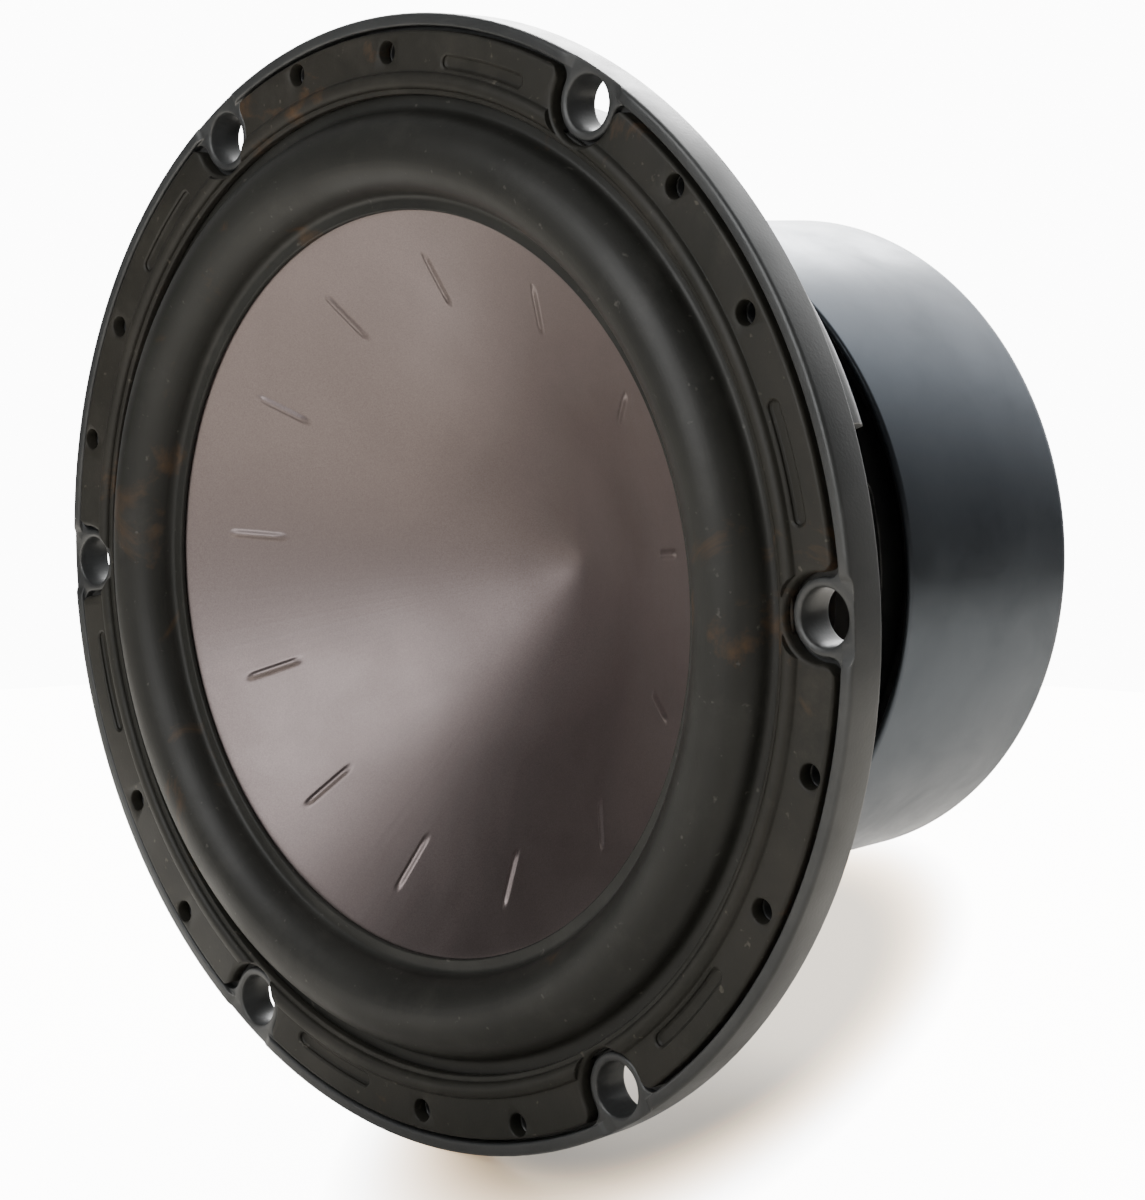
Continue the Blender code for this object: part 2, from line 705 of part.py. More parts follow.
def build_terminals(plastic, red, black, spring_steel, brass, screw_steel):
    for side, angle in TERMINAL_ANGLES.items():
        build_terminal_block(side, angle, plastic)
        for pole, offset, colour in (("plus", -BUTTON_SPACING, red), ("minus", BUTTON_SPACING, black)):
            button = add_object(f"terminal_button_{side}_{pole}", button_mesh(), colour)
            wire = prism(circle_outline(WIRE_HOLE, 8), -BUTTON_RADIUS - 2, BUTTON_RADIUS + 2)
            lift = Vector((0.0, (WIRE_HOLE_Y + 3.0 - BUTTON_FRONT) * MM, 0.0))
            turn = Matrix.Rotation(math.pi / 2, 3, "X")
            bmesh.ops.rotate(wire, verts=wire.verts, cent=(0, 0, 0), matrix=turn)
            bmesh.ops.translate(wire, verts=wire.verts, vec=lift)
            hole = cut(button, f"button_hole_{side}_{pole}", wire)
            for obj in (button, hole):
                place(obj, angle, BLOCK_CENTRE, BUTTON_FRONT, offset)
            length = BUTTON_FRONT - BORE_FLOOR - 2 * GAP
            spring = add_object(f"terminal_spring_{side}_{pole}", spring_mesh(2.9, 0.35, 4, length),
                                spring_steel)
            place(spring, angle, BLOCK_CENTRE, BORE_FLOOR + GAP, offset)
            lug = add_object(f"solder_lug_{side}_{pole}", box(2.0, 0.0, 5.0, -3.0, -GAP), brass, False)
            place(lug, angle, BLOCK_CENTRE - BLOCK_HALF_DEPTH, BLOCK_FRONT + 3.0, offset)
        for number, way in ((1, -1), (2, 1)):
            screw = add_object(f"terminal_screw_{side}_{number}", bolt_mesh(3.0, 2.0, 1.4, 18.0, 1.2),
                               screw_steel)
            place(screw, angle, BLOCK_CENTRE, BLOCK_REAR + GAP, way * BLOCK_SCREW_X)
            screw.matrix_world = screw.matrix_world @ Matrix.Rotation(math.pi, 4, "X")


def lead_route(angle, offset):
    """From the solder lug in through the basket's low window and across to the coil former."""
    turn = Matrix.Rotation(math.radians(angle), 3, "Y")
    start_radius = BLOCK_CENTRE - BLOCK_HALF_DEPTH - 3.6
    end_radius = FORMER_OUTER + 1.6
    points = []
    pieces = 14
    for i in range(pieces + 1):
        share = i / pieces
        radius = start_radius + (end_radius - start_radius) * share
        sag = 4.2 * math.sin(math.pi * share)
        y = BLOCK_FRONT + 5.5 + (61.0 - BLOCK_FRONT - 5.5) * share + sag
        side = offset * (1.0 - share) + 0.42 * offset * share
        points.append(turn @ Vector((side, y, radius)))
    return points


def build_leads(surface):
    for side, angle in TERMINAL_ANGLES.items():
        for pole, offset in (("plus", -BUTTON_SPACING), ("minus", BUTTON_SPACING)):
            name = f"tinsel_lead_{side}_{pole}"
            curve = bpy.data.curves.new(name, "CURVE")
            curve.dimensions = "3D"
            curve.bevel_depth = 0.9 * MM
            curve.bevel_resolution = 1
            curve.use_fill_caps = True
            route = lead_route(angle, offset)
            spline = curve.splines.new("POLY")
            spline.points.add(len(route) - 1)
            for point, where in zip(spline.points, route):
                point.co = (*(where * MM), 1.0)
            curve.materials.append(surface)
            bpy.context.scene.collection.objects.link(bpy.data.objects.new(name, curve))


def main():
    clear_scene()
    build_basket(material("cast_frame_paint", (0.055, 0.057, 0.06), 0.45, 0.4))
    build_gasket(material("trim_rubber", (0.035, 0.036, 0.034), 0.55))
    build_surround(material("surround_rubber", (0.05, 0.05, 0.048), 0.5))
    build_cone(material("cone_film", (0.32, 0.26, 0.26), 0.32, 0.75))
    build_voice_coil(material("coil_former_sheet", (0.55, 0.42, 0.24), 0.6),
                     material("coil_copper", (0.75, 0.36, 0.18), 0.35, 1.0),
                     material("coupler_resin", (0.06, 0.06, 0.06), 0.4))
    build_spider(material("spider_cloth", (0.62, 0.48, 0.22), 0.9),
                 material("clamp_board", (0.08, 0.08, 0.08), 0.8))
    steel = material("black_plated_steel", (0.09, 0.09, 0.095), 0.4, 0.8)
    build_motor(steel, material("ferrite", (0.09, 0.09, 0.09), 0.7),
                material("shorting_aluminium", (0.75, 0.75, 0.76), 0.35, 1.0),
                material("screen_steel", (0.2, 0.2, 0.2), 0.5, 0.9))
    build_cover(material("motor_cover_satin", (0.2, 0.215, 0.235), 0.38, 0.85))
    screw_steel = material("screw_zinc", (0.5, 0.5, 0.5), 0.35, 1.0)
    build_motor_bolts(screw_steel)
    build_terminals(material("terminal_plastic", (0.04, 0.04, 0.042), 0.45),
                    material("button_red", (0.6, 0.04, 0.03), 0.4),
                    material("button_black", (0.03, 0.03, 0.03), 0.4),
                    material("spring_steel", (0.6, 0.6, 0.62), 0.3, 1.0),
                    material("lug_brass", (0.8, 0.6, 0.25), 0.3, 1.0), screw_steel)
    build_leads(material("tinsel_braid", (0.65, 0.6, 0.55), 0.45, 0.9))


main()
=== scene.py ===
import math

import bmesh
import bpy
from mathutils import Matrix, Vector


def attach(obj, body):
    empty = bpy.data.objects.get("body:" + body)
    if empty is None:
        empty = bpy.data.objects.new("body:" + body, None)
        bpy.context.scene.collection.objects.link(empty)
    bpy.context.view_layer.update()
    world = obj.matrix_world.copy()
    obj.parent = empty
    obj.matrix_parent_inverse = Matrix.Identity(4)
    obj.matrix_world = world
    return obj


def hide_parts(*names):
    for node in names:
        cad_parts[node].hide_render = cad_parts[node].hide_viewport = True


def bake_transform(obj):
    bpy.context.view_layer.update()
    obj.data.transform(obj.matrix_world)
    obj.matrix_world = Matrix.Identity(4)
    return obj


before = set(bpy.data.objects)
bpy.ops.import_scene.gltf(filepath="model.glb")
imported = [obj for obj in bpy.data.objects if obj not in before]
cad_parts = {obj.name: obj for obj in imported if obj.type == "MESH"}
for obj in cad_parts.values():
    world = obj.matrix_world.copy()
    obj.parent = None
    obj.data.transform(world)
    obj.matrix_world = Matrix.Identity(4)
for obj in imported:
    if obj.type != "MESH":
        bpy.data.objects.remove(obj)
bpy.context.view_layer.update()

# The speaker's axis is Y: the cone faces -Y, the motor is at +Y and +Z is up. Lengths are in
# millimetres here and become metres in the meshes. Angles are in degrees, clockwise from the top
# as seen from the front.
MM = 0.001
GAP = 0.3
SHARP_ANGLE = 32.0

# Flange and trim gasket
SCREW_CIRCLE = 128.0
SCREW_ANGLES = [28.0 + 60.0 * i for i in range(6)]
SMALL_HOLE_PLACES = ((15.0, 128.8), (30.0, 127.2))
SMALL_HOLES = [(angle + step, radius) for angle in SCREW_ANGLES for step, radius in SMALL_HOLE_PLACES]
SLOT_ANGLES = [angle + 45.0 for angle in SCREW_ANGLES]
SCREW_HOLE = 6.3
SMALL_HOLE = 2.7
BOSS_RADIUS = 8.5
RIM_RADIUS = 136.2
LIP_INNER = 133.1
THROAT = 111.0
FLOOR_Y = -7.1
LIP_Y = -10.2
BOSS_Y = -9.2
GASKET_INNER = 117.0
GASKET_OUTER = 132.1
GASKET_Y = -10.9
BEAD_RADIUS = 120.3
NOTCH_RADIUS = 9.6
SLOT_HALF_ANGLE = 6.2

# Surround and cone
SURROUND_THICK = 1.2
SURROUND_OUTER = 119.0
SURROUND_LEVEL = -8.0
ROLL_CENTRE = 103.5
ROLL_RADIUS = 9.35
SURROUND_INNER = 89.8
CONE_LIP_OUTER = 93.3
CONE_EDGE = 90.0
CONE_LIP_Y = -7.1
CONE_APEX_Y = 51.96
CONE_SLOPE = 0.6552
CONE_TIP_ROUND = 5.0
CONE_THICK_Y = 1.55
RIB_COUNT = 13
RIB_PHASE = -2.6

# Basket behind the flange
LANDING_Y = 57.0
LANDING_REAR = 61.5
SEAT_Y = 77.0
SEAT_REAR = 83.7
ARM_PAIR_ANGLE = 30.5
WINDOW_ANGLE = 90.5

# Voice coil and spider
FORMER_INNER = 25.0
FORMER_OUTER = 25.5
COIL_OUTER = 27.2
SPIDER_Y = 56.25
FORMER_REAR = 105.0
SPIDER_NECK = 29.5
SPIDER_FLAT = 62.0
SPIDER_OUTER = 71.0

# Motor
TOP_PLATE_Y = 84.0
TOP_PLATE_REAR = 93.7
YOKE_REAR = 137.6
PLATE_OUTER = 81.5
MAGNET_OUTER = 84.0
MAGNET_INNER = 34.2
MAGNET_SPLIT = 110.7
MAGNET_REAR = 127.7
PLATE_INNER = 28.0
POLE_RADIUS = 24.3
VENT_RADIUS = 9.0
SCREEN_RADIUS = 17.0
MOTOR_BOLT_ANGLES = [0.5 + 60.0 * i for i in range(6)]
MOTOR_BOLT_CIRCLE = 58.0
COVER_INNER = 84.8
COVER_OUTER = 87.0
COVER_FRONT = 73.7
COVER_REAR = 140.6
COVER_LIP_INNER = 70.0

# Push terminals
TERMINALS = {"left": 330.5, "right": 210.5}
POLES = {"plus": -10.0, "minus": 10.0}
BLOCK_CENTRE = 97.5
BLOCK_FRONT = 61.8
BLOCK_REAR = 76.0
BLOCK_HALF_DEPTH = 9.5
BUTTON_FRONT = 69.5
BUTTON_REAR = 82.0
BORE_FLOOR = 63.2
WIRE_HOLE_Y = 70.8
WIRE_HOLE = 1.7
BLOCK_SCREW_X = 17.6
LEAD_OUTER = 80.4
LEAD_INNER = 27.1
LEAD_OUTER_Y = 67.3
LEAD_INNER_Y = 61.0


# ---------------------------------------- shapes
def corner_points(before, here, after, radius, pieces):
    """The arc that rounds one corner of an outline."""
    back = before - here
    ahead = after - here
    angle = back.angle(ahead)
    reach = min(radius / math.tan(angle / 2), back.length * 0.48, ahead.length * 0.48)
    radius = reach * math.tan(angle / 2)
    first = here + back.normalized() * reach
    last = here + ahead.normalized() * reach
    middle = here + (back.normalized() + ahead.normalized()).normalized() * radius / math.sin(angle / 2)
    start = math.atan2(first.y - middle.y, first.x - middle.x)
    sweep = math.atan2(last.y - middle.y, last.x - middle.x) - start
    sweep = (sweep + math.pi) % (2 * math.pi) - math.pi
    return [(middle.x + radius * math.cos(start + sweep * k / pieces),
             middle.y + radius * math.sin(start + sweep * k / pieces)) for k in range(pieces + 1)]


def rounded(corners, pieces=4):
    """A closed outline from (x, y, radius) corners."""
    points = []
    for i, (x, y, radius) in enumerate(corners):
        before = Vector(corners[i - 1][:2])
        after = Vector(corners[(i + 1) % len(corners)][:2])
        if radius > 0:
            points += corner_points(before, Vector((x, y)), after, radius, pieces)
        else:
            points.append((x, y))
    return points


def arc(centre, radius, start, end, pieces):
    points = []
    for i in range(pieces + 1):
        turn = math.radians(start + (end - start) * i / pieces)
        points.append((centre[0] + radius * math.cos(turn), centre[1] + radius * math.sin(turn)))
    return points


def even_angles(steps):
    return [360.0 * i / steps for i in range(steps)]


def turned_mesh(profile, angles, shift=None):
    """A closed (radius, y) outline turned round Y. shift(radius, angle) moves a point along Y."""
    bm = bmesh.new()
    rings = []
    for radius, y in profile:
        if radius < 1e-6:
            rings.append([bm.verts.new((0.0, y * MM, 0.0))] * len(angles))
            continue
        ring = []
        for angle in angles:
            turn = math.radians(angle)
            depth = y + (shift(radius, angle) if shift else 0.0)
            point = (radius * math.sin(turn), depth, radius * math.cos(turn))
            ring.append(bm.verts.new(Vector(point) * MM))
        rings.append(ring)
    for k, ring in enumerate(rings):
        after = rings[(k + 1) % len(rings)]
        for i in range(len(angles)):
            j = (i + 1) % len(angles)
            corners = []
            for vert in (ring[i], ring[j], after[j], after[i]):
                if vert not in corners:
                    corners.append(vert)
            if len(corners) > 2:
                bm.faces.new(corners)
    bmesh.ops.recalc_face_normals(bm, faces=bm.faces)
    return bm


def skinned(bm, loops):
    """Joins each loop of points to the next and caps both ends."""
    for low, high in zip(loops, loops[1:]):
        for i in range(len(low)):
            j = (i + 1) % len(low)
            bm.faces.new((low[i], low[j], high[j], high[i]))
    bm.faces.new(loops[0])
    bm.faces.new(loops[-1])
    bmesh.ops.recalc_face_normals(bm, faces=bm.faces)
    return bm


def stacked(outline_of, sections):
    """Outlines in X and Z, one for each (offset, y) section, joined and capped along Y."""
    bm = bmesh.new()
    loops = []
    for offset, y in sections:
        loops.append([bm.verts.new((x * MM, y * MM, z * MM)) for x, z in outline_of(offset)])
    return skinned(bm, loops)


def soft_ends(low, high, low_round, high_round, pieces=4):
    """Sections for stacked() whose ends are rounded over by these radii."""
    sections = []
    for i in range(pieces + 1):
        turn = math.pi / 2 * i / pieces
        sections.append((-low_round * (1 - math.sin(turn)), low + low_round * (1 - math.cos(turn))))
    for i in range(pieces + 1):
        turn = math.pi / 2 * i / pieces
        sections.append((-high_round * (1 - math.cos(turn)), high - high_round * (1 - math.sin(turn))))
    return sections


def circle(radius, steps=32, x=0.0, z=0.0):
    """An outline for stacked()."""
    def outline(offset):
        size = radius + offset
        return [(x + size * math.sin(math.radians(a)), z + size * math.cos(math.radians(a)))
                for a in even_angles(steps)]
    return outline


def rectangle(half_x, low_z, high_z, corner, pieces=5):
    def outline(offset):
        left, right = -half_x - offset, half_x + offset
        low, high = low_z - offset, high_z + offset
        size = max(corner + offset, 0.02)
        return rounded([(left, low, size), (right, low, size), (right, high, size), (left, high, size)],
                       pieces)
    return outline


def horseshoe(radius, mouth, flare, reach):
    """Round towards the axis; the sides run out to z = mouth, where they flare."""
    def outline(offset):
        size = radius + offset
        curve = max(flare - offset, 0.05)
        side = [(size + curve + curve * math.cos(t), mouth - curve + curve * math.sin(t))
                for t in [math.pi * (1 - 0.5 * i / 8) for i in range(9)]]
        side.append((size + curve, reach))
        bowl = [(size * math.cos(t), size * math.sin(t))
                for t in [math.pi * (1 + i / 24) for i in range(25)]]
        return bowl + side + [(-x, z) for x, z in reversed(side)]
    return outline


def moved(bm, x=0.0, y=0.0, z=0.0):
    bmesh.ops.translate(bm, verts=bm.verts, vec=Vector((x, y, z)) * MM)
    return bm


def spun(bm, angle, axis="Y"):
    turn = Matrix.Rotation(math.radians(angle), 3, axis)
    bmesh.ops.rotate(bm, verts=bm.verts, cent=(0, 0, 0), matrix=turn)
    return bm


def joined(parts):
    whole = bmesh.new()
    for part in parts:
        piece = bpy.data.meshes.new("piece")
        part.to_mesh(piece)
        part.free()
        whole.from_mesh(piece)
        bpy.data.meshes.remove(piece)
    return whole


def around(make, angles):
    return joined([spun(make(), angle) for angle in angles])


def add_object(name, bm, surface=None):
    mesh = bpy.data.meshes.new(name)
    bm.to_mesh(mesh)
    bm.free()
    obj = bpy.data.objects.new(name, mesh)
    bpy.context.scene.collection.objects.link(obj)
    if surface:
        mesh.materials.append(surface)
    return obj


def combine(obj, bm, operation):
    """Cuts or adds a helper shape and keeps only the result."""
    helper = add_object("helper", bm)
    modifier = obj.modifiers.new("Shape", "BOOLEAN")
    modifier.operation = operation
    modifier.solver = "EXACT"
    modifier.object = helper
    bpy.context.view_layer.update()
    graph = bpy.context.evaluated_depsgraph_get()
    made = bpy.data.meshes.new_from_object(obj.evaluated_get(graph))
    obj.modifiers.clear()
    old, obj.data = obj.data, made
    bpy.data.meshes.remove(old)
    bpy.data.meshes.remove(helper.data)


def cut(obj, bm):
    combine(obj, bm, "DIFFERENCE")


def join_shape(obj, bm):
    combine(obj, bm, "UNION")


def place(obj, angle, radius, y, offset=0.0, flip=False):
    """Moves a shape made round its own Y axis to its place about the speaker's axis."""
    turn = Matrix.Rotation(math.radians(angle), 4, "Y")
    where = turn @ Vector((offset, y, radius)) * MM
    way = Matrix.Rotation(math.pi, 4, "X") if flip else Matrix.Identity(4)
    obj.data.transform(Matrix.Translation(where) @ turn @ way)


def fit(obj, node, body):
    """The piece stands for its CAD node, which it hides, and rides on its body."""
    obj.data.shade_smooth()
    obj.data.set_sharp_from_angle(angle=math.radians(SHARP_ANGLE))
    if body:
        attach(obj, body)
    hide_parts(node)


def stretch(obj, weight_of):
    """Bakes the piece's transform and works out weight_of each point, 0 at the frame and 1 at a moving body;
    nothing uses the weights, so the piece does not bend.
    """
    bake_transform(obj)
    weights = [weight_of(vert.co / MM) for vert in obj.data.vertices]


def ease(value, start, end):
    share = min(max((value - start) / (end - start), 0.0), 1.0)
    return share * share * (3 - 2 * share)


# ---------------------------------------- materials
def node(tree, kind, inputs=None, **settings):
    made = tree.nodes.new(kind)
    for key, value in settings.items():
        setattr(made, key, value)
    for key, value in (inputs or {}).items():
        if isinstance(value, bpy.types.NodeSocket):
            tree.links.new(value, made.inputs[key])
        else:
            made.inputs[key].default_value = value
    return made


def begin(name, roughness, metallic=0.0, **sockets):
    made = bpy.data.materials.new(name)
    made.use_nodes = True
    shader = made.node_tree.nodes["Principled BSDF"]
    shader.inputs["Roughness"].default_value = roughness
    shader.inputs["Metallic"].default_value = metallic
    for key, value in sockets.items():
        shader.inputs[key.replace("_", " ")].default_value = value
    return made, made.node_tree, shader


def place_of(tree):
    return node(tree, "ShaderNodeTexCoord").outputs["Object"]


def noise(tree, scale, detail=4.0, rough=0.55, warp=0.0):
    made = node(tree, "ShaderNodeTexNoise", {"Vector": place_of(tree), "Scale": scale, "Detail": detail,
                "Roughness": rough, "Distortion": warp})
    return made.outputs["Fac"]


def line_noise(tree, value, detail):
    """Noise that changes along value only."""
    return node(tree, "ShaderNodeTexNoise", {"W": value, "Scale": 1.0, "Detail": detail},
                noise_dimensions="1D").outputs["Fac"]


def level(tree, value, low, high, to_low=0.0, to_high=1.0):
    made = node(tree, "ShaderNodeMapRange", {"Value": value, "From Min": low, "From Max": high,
                "To Min": to_low, "To Max": to_high})
    return made.outputs["Result"]


def math_of(tree, operation, first, second=0.0, third=0.0):
    made = node(tree, "ShaderNodeMath", {0: first, 1: second, 2: third}, operation=operation)
    return made.outputs[0]


def colour_mix(tree, share, first, second):
    made = node(tree, "ShaderNodeMix", {0: share}, data_type="RGBA")
    for index, value in ((6, first), (7, second)):
        if isinstance(value, bpy.types.NodeSocket):
            tree.links.new(value, made.inputs[index])
        else:
            made.inputs[index].default_value = (*value, 1.0)
    return made.outputs[2]


def soft_edges(tree, radius):
    return node(tree, "ShaderNodeBevel", {"Radius": radius * MM}, samples=4).outputs["Normal"]


def edge_mask(tree, bent):
    """Near 1 on the edges that soft_edges() rounds over."""
    plain = node(tree, "ShaderNodeNewGeometry").outputs["Normal"]
    facing = node(tree, "ShaderNodeVectorMath", {0: bent, 1: plain}, operation="DOT_PRODUCT")
    return level(tree, facing.outputs["Value"], 0.995, 0.8)


def bump(tree, height, distance, strength, normal=None):
    inputs = {"Height": height, "Distance": distance * MM, "Strength": strength}
    if normal:
        inputs["Normal"] = normal
    return node(tree, "ShaderNodeBump", inputs).outputs["Normal"]


def link(tree, value, shader, name):
    tree.links.new(value, shader.inputs[name])


def uneven_roughness(tree, shader, scale, detail, low, high):
    link(tree, level(tree, noise(tree, scale, detail), 0.3, 0.7, low, high), shader, "Roughness")


def radius_of(tree):
    """Distance from the speaker's axis, in metres."""
    parts = node(tree, "ShaderNodeSeparateXYZ", {"Vector": place_of(tree)})
    square = math_of(tree, "MULTIPLY", parts.outputs["X"], parts.outputs["X"])
    both = math_of(tree, "MULTIPLY_ADD", parts.outputs["Z"], parts.outputs["Z"], square)
    return math_of(tree, "SQRT", both)


def turn_of(tree):
    """Angle about the speaker's axis, in radians."""
    parts = node(tree, "ShaderNodeSeparateXYZ", {"Vector": place_of(tree)})
    return math_of(tree, "ARCTAN2", parts.outputs["X"], parts.outputs["Z"])


def wave_of(tree, value, period):
    """A wave from 0 to 1 along value."""
    swing = math_of(tree, "SINE", math_of(tree, "MULTIPLY", value, 2 * math.pi / period))
    return math_of(tree, "MULTIPLY_ADD", swing, 0.5, 0.5)


def cast_paint(name, dark, pale, roughness, worn):
    made, tree, shader = begin(name, roughness, 0.35, Coat_Weight=0.2, Coat_Roughness=0.3)
    bent = soft_edges(tree, 0.7)
    patches = level(tree, noise(tree, 24.0, 6.0, 0.6), 0.35, 0.65)
    body = colour_mix(tree, patches, dark, pale)
    rubbed = level(tree, noise(tree, 130.0, 3.0), 0.42, 0.62)
    wear = math_of(tree, "MULTIPLY", edge_mask(tree, bent), rubbed)
    link(tree, colour_mix(tree, wear, body, worn), shader, "Base Color")
    uneven_roughness(tree, shader, 60.0, 5.0, roughness - 0.08, roughness + 0.12)
    peel = noise(tree, 1400.0, 3.0, 0.5)
    link(tree, bump(tree, peel, 0.1, 0.5, bent), shader, "Normal")
    return made


def rubber(name, dark, pale, roughness, dust, streak=0.0):
    """Rubber with brown stains, a film of dust and pale specks; streak rings for each metre of radius."""
    made, tree, shader = begin(name, roughness, 0.0, Specular_IOR_Level=0.36)
    patches = level(tree, noise(tree, 16.0, 6.0, 0.62, warp=0.4), 0.35, 0.68)
    body = colour_mix(tree, patches, dark, pale)
    stains = level(tree, noise(tree, 26.0, 7.0, 0.65, warp=0.8), 0.6, 0.7)
    body = colour_mix(tree, stains, body, STAIN)
    film = level(tree, noise(tree, 45.0, 8.0, 0.7), 0.54, 0.8)
    specks = level(tree, noise(tree, 420.0, 2.0, 0.5), 0.70, 0.78)
    share = math_of(tree, "MAXIMUM", math_of(tree, "MULTIPLY", film, 0.35), specks)
    link(tree, colour_mix(tree, math_of(tree, "MULTIPLY", share, 0.6), body, dust), shader, "Base Color")
    uneven_roughness(tree, shader, 30.0, 6.0, roughness - 0.07, roughness + 0.1)
    height = noise(tree, 1800.0, 3.0, 0.6)
    if streak:
        rings = line_noise(tree, math_of(tree, "MULTIPLY", radius_of(tree), streak), 2.0)
        height = math_of(tree, "MULTIPLY_ADD", rings, 0.5, height)
    link(tree, bump(tree, height, 0.06, 0.55, soft_edges(tree, 0.4)), shader, "Normal")
    return made


def metal(name, dark, pale, roughness, metallic=1.0, grain=900.0, edge=0.3, smudge=0.1):
    made, tree, shader = begin(name, roughness, metallic)
    patches = level(tree, noise(tree, 20.0, 5.0, 0.6), 0.3, 0.7)
    link(tree, colour_mix(tree, patches, dark, pale), shader, "Base Color")
    marks = noise(tree, 38.0, 7.0, 0.65, warp=0.5)
    marks = level(tree, marks, 0.35, 0.72, roughness - smudge / 2, roughness + smudge)
    link(tree, marks, shader, "Roughness")
    link(tree, bump(tree, noise(tree, grain, 3.0), 0.02, 0.5, soft_edges(tree, edge)), shader, "Normal")
    return made


def lined_metal(name, dark, pale, roughness, period, along_axis, depth):
    """Metal with fine lines: windings along the axis, or lathe marks across a face."""
    made, tree, shader = begin(name, roughness, 1.0)
    parts = node(tree, "ShaderNodeSeparateXYZ", {"Vector": place_of(tree)})
    run = parts.outputs["Y"] if along_axis else radius_of(tree)
    lines = wave_of(tree, run, period * MM)
    patches = level(tree, noise(tree, 90.0, 4.0), 0.35, 0.65)
    link(tree, colour_mix(tree, patches, dark, pale), shader, "Base Color")
    uneven_roughness(tree, shader, 60.0, 5.0, roughness - 0.05, roughness + 0.1)
    link(tree, bump(tree, lines, depth, 0.7, soft_edges(tree, 0.3)), shader, "Normal")
    return made


def cone_paint():
    made, tree, shader = begin("cone_film_look", 0.36, 0.95, Coat_Weight=0.05, Coat_Roughness=0.3)
    flakes = level(tree, noise(tree, 2600.0, 2.0, 0.7), 0.3, 0.7)
    clouds = level(tree, noise(tree, 18.0, 5.0, 0.6), 0.3, 0.7)
    fine = colour_mix(tree, flakes, (0.176, 0.145, 0.141), (0.237, 0.198, 0.193))
    clouds = math_of(tree, "MULTIPLY", clouds, 0.45)
    link(tree, colour_mix(tree, clouds, fine, (0.192, 0.16, 0.156)), shader, "Base Color")
    smears = level(tree, noise(tree, 26.0, 7.0, 0.62, warp=0.6), 0.3, 0.72, 0.38, 0.48)
    middle = level(tree, radius_of(tree), 0.012, 0.045, 0.2, 0.0)
    link(tree, math_of(tree, "ADD", smears, middle), shader, "Roughness")
    radial = line_noise(tree, math_of(tree, "MULTIPLY", turn_of(tree), 40.0), 3.0)
    height = math_of(tree, "MULTIPLY_ADD", noise(tree, 1500.0, 3.0), 0.6, radial)
    link(tree, bump(tree, height, 0.035, 0.5, soft_edges(tree, 0.3)), shader, "Normal")
    return made


def cloth():
    made, tree, shader = begin("spider_cloth_look", 0.85, 0.0, Sheen_Weight=0.15)
    threads = math_of(tree, "MULTIPLY", wave_of(tree, radius_of(tree), 0.8 * MM),
                      wave_of(tree, turn_of(tree), 2 * math.pi / 260))
    patches = level(tree, noise(tree, 60.0, 5.0), 0.3, 0.7)
    body = colour_mix(tree, patches, (0.42, 0.27, 0.10), (0.62, 0.45, 0.20))
    link(tree, colour_mix(tree, threads, (0.25, 0.15, 0.05), body), shader, "Base Color")
    link(tree, bump(tree, threads, 0.25, 0.8), shader, "Normal")
    return made


def sheet(name, dark, pale, roughness, scale, depth):
    """Board, film, resin or moulded plastic with a fine surface."""
    made, tree, shader = begin(name, roughness)
    patches = level(tree, noise(tree, scale * 0.08, 5.0, 0.6), 0.32, 0.68)
    link(tree, colour_mix(tree, patches, dark, pale), shader, "Base Color")
    uneven_roughness(tree, shader, scale * 0.05, 5.0, roughness - 0.06, roughness + 0.08)
    link(tree, bump(tree, noise(tree, scale, 3.0), depth, 0.5, soft_edges(tree, 0.3)), shader, "Normal")
    return made


STAIN = (0.075, 0.042, 0.02)
PAINT = cast_paint("cast_frame_paint_look", (0.042, 0.044, 0.045), (0.065, 0.067, 0.067), 0.40,
                   (0.28, 0.275, 0.265))
GASKET_RUBBER = rubber("trim_rubber_look", (0.013, 0.013, 0.010), (0.028, 0.025, 0.020), 0.52,
                       (0.11, 0.10, 0.08))
ROLL_RUBBER = rubber("surround_rubber_look", (0.015, 0.015, 0.013), (0.025, 0.025, 0.022), 0.46,
                     (0.10, 0.095, 0.085), streak=900.0)
CONE_FILM = cone_paint()
COVER_METAL = metal("motor_cover_satin_look", (0.084, 0.096, 0.112), (0.106, 0.12, 0.138), 0.36, 0.9,
                    1600.0, smudge=0.11)
BLACK_STEEL = metal("black_plated_steel_look", (0.045, 0.045, 0.05), (0.075, 0.075, 0.08), 0.42, 0.8)
FERRITE = sheet("ferrite_look", (0.05, 0.05, 0.052), (0.075, 0.075, 0.078), 0.62, 700.0, 0.12)
ALUMINIUM = lined_metal("shorting_aluminium_look", (0.62, 0.62, 0.63), (0.75, 0.75, 0.76), 0.32, 0.4,
                        False, 0.02)
COPPER = lined_metal("coil_copper_look", (0.55, 0.22, 0.09), (0.72, 0.34, 0.16), 0.3, 0.6, True, 0.12)
FORMER_SHEET = sheet("coil_former_sheet_look", (0.36, 0.20, 0.07), (0.48, 0.30, 0.12), 0.38, 500.0, 0.04)
RESIN = sheet("coupler_resin_look", (0.022, 0.022, 0.024), (0.04, 0.04, 0.042), 0.3, 400.0, 0.2)
CLOTH = cloth()
BOARD = sheet("clamp_board_look", (0.05, 0.048, 0.045), (0.08, 0.075, 0.07), 0.8, 900.0, 0.15)
SCREEN_STEEL = metal("screen_steel_look", (0.10, 0.10, 0.105), (0.16, 0.16, 0.165), 0.45, 0.9)
ZINC = metal("screw_zinc_look", (0.42, 0.42, 0.43), (0.56, 0.56, 0.57), 0.33, 1.0, 700.0, 0.15)
BLOCK_PLASTIC = sheet("terminal_plastic_look", (0.022, 0.022, 0.023), (0.034, 0.034, 0.035), 0.45, 1500.0,
                      0.06)
RED_PLASTIC = sheet("button_red_look", (0.42, 0.018, 0.014), (0.55, 0.03, 0.022), 0.36, 1200.0, 0.03)
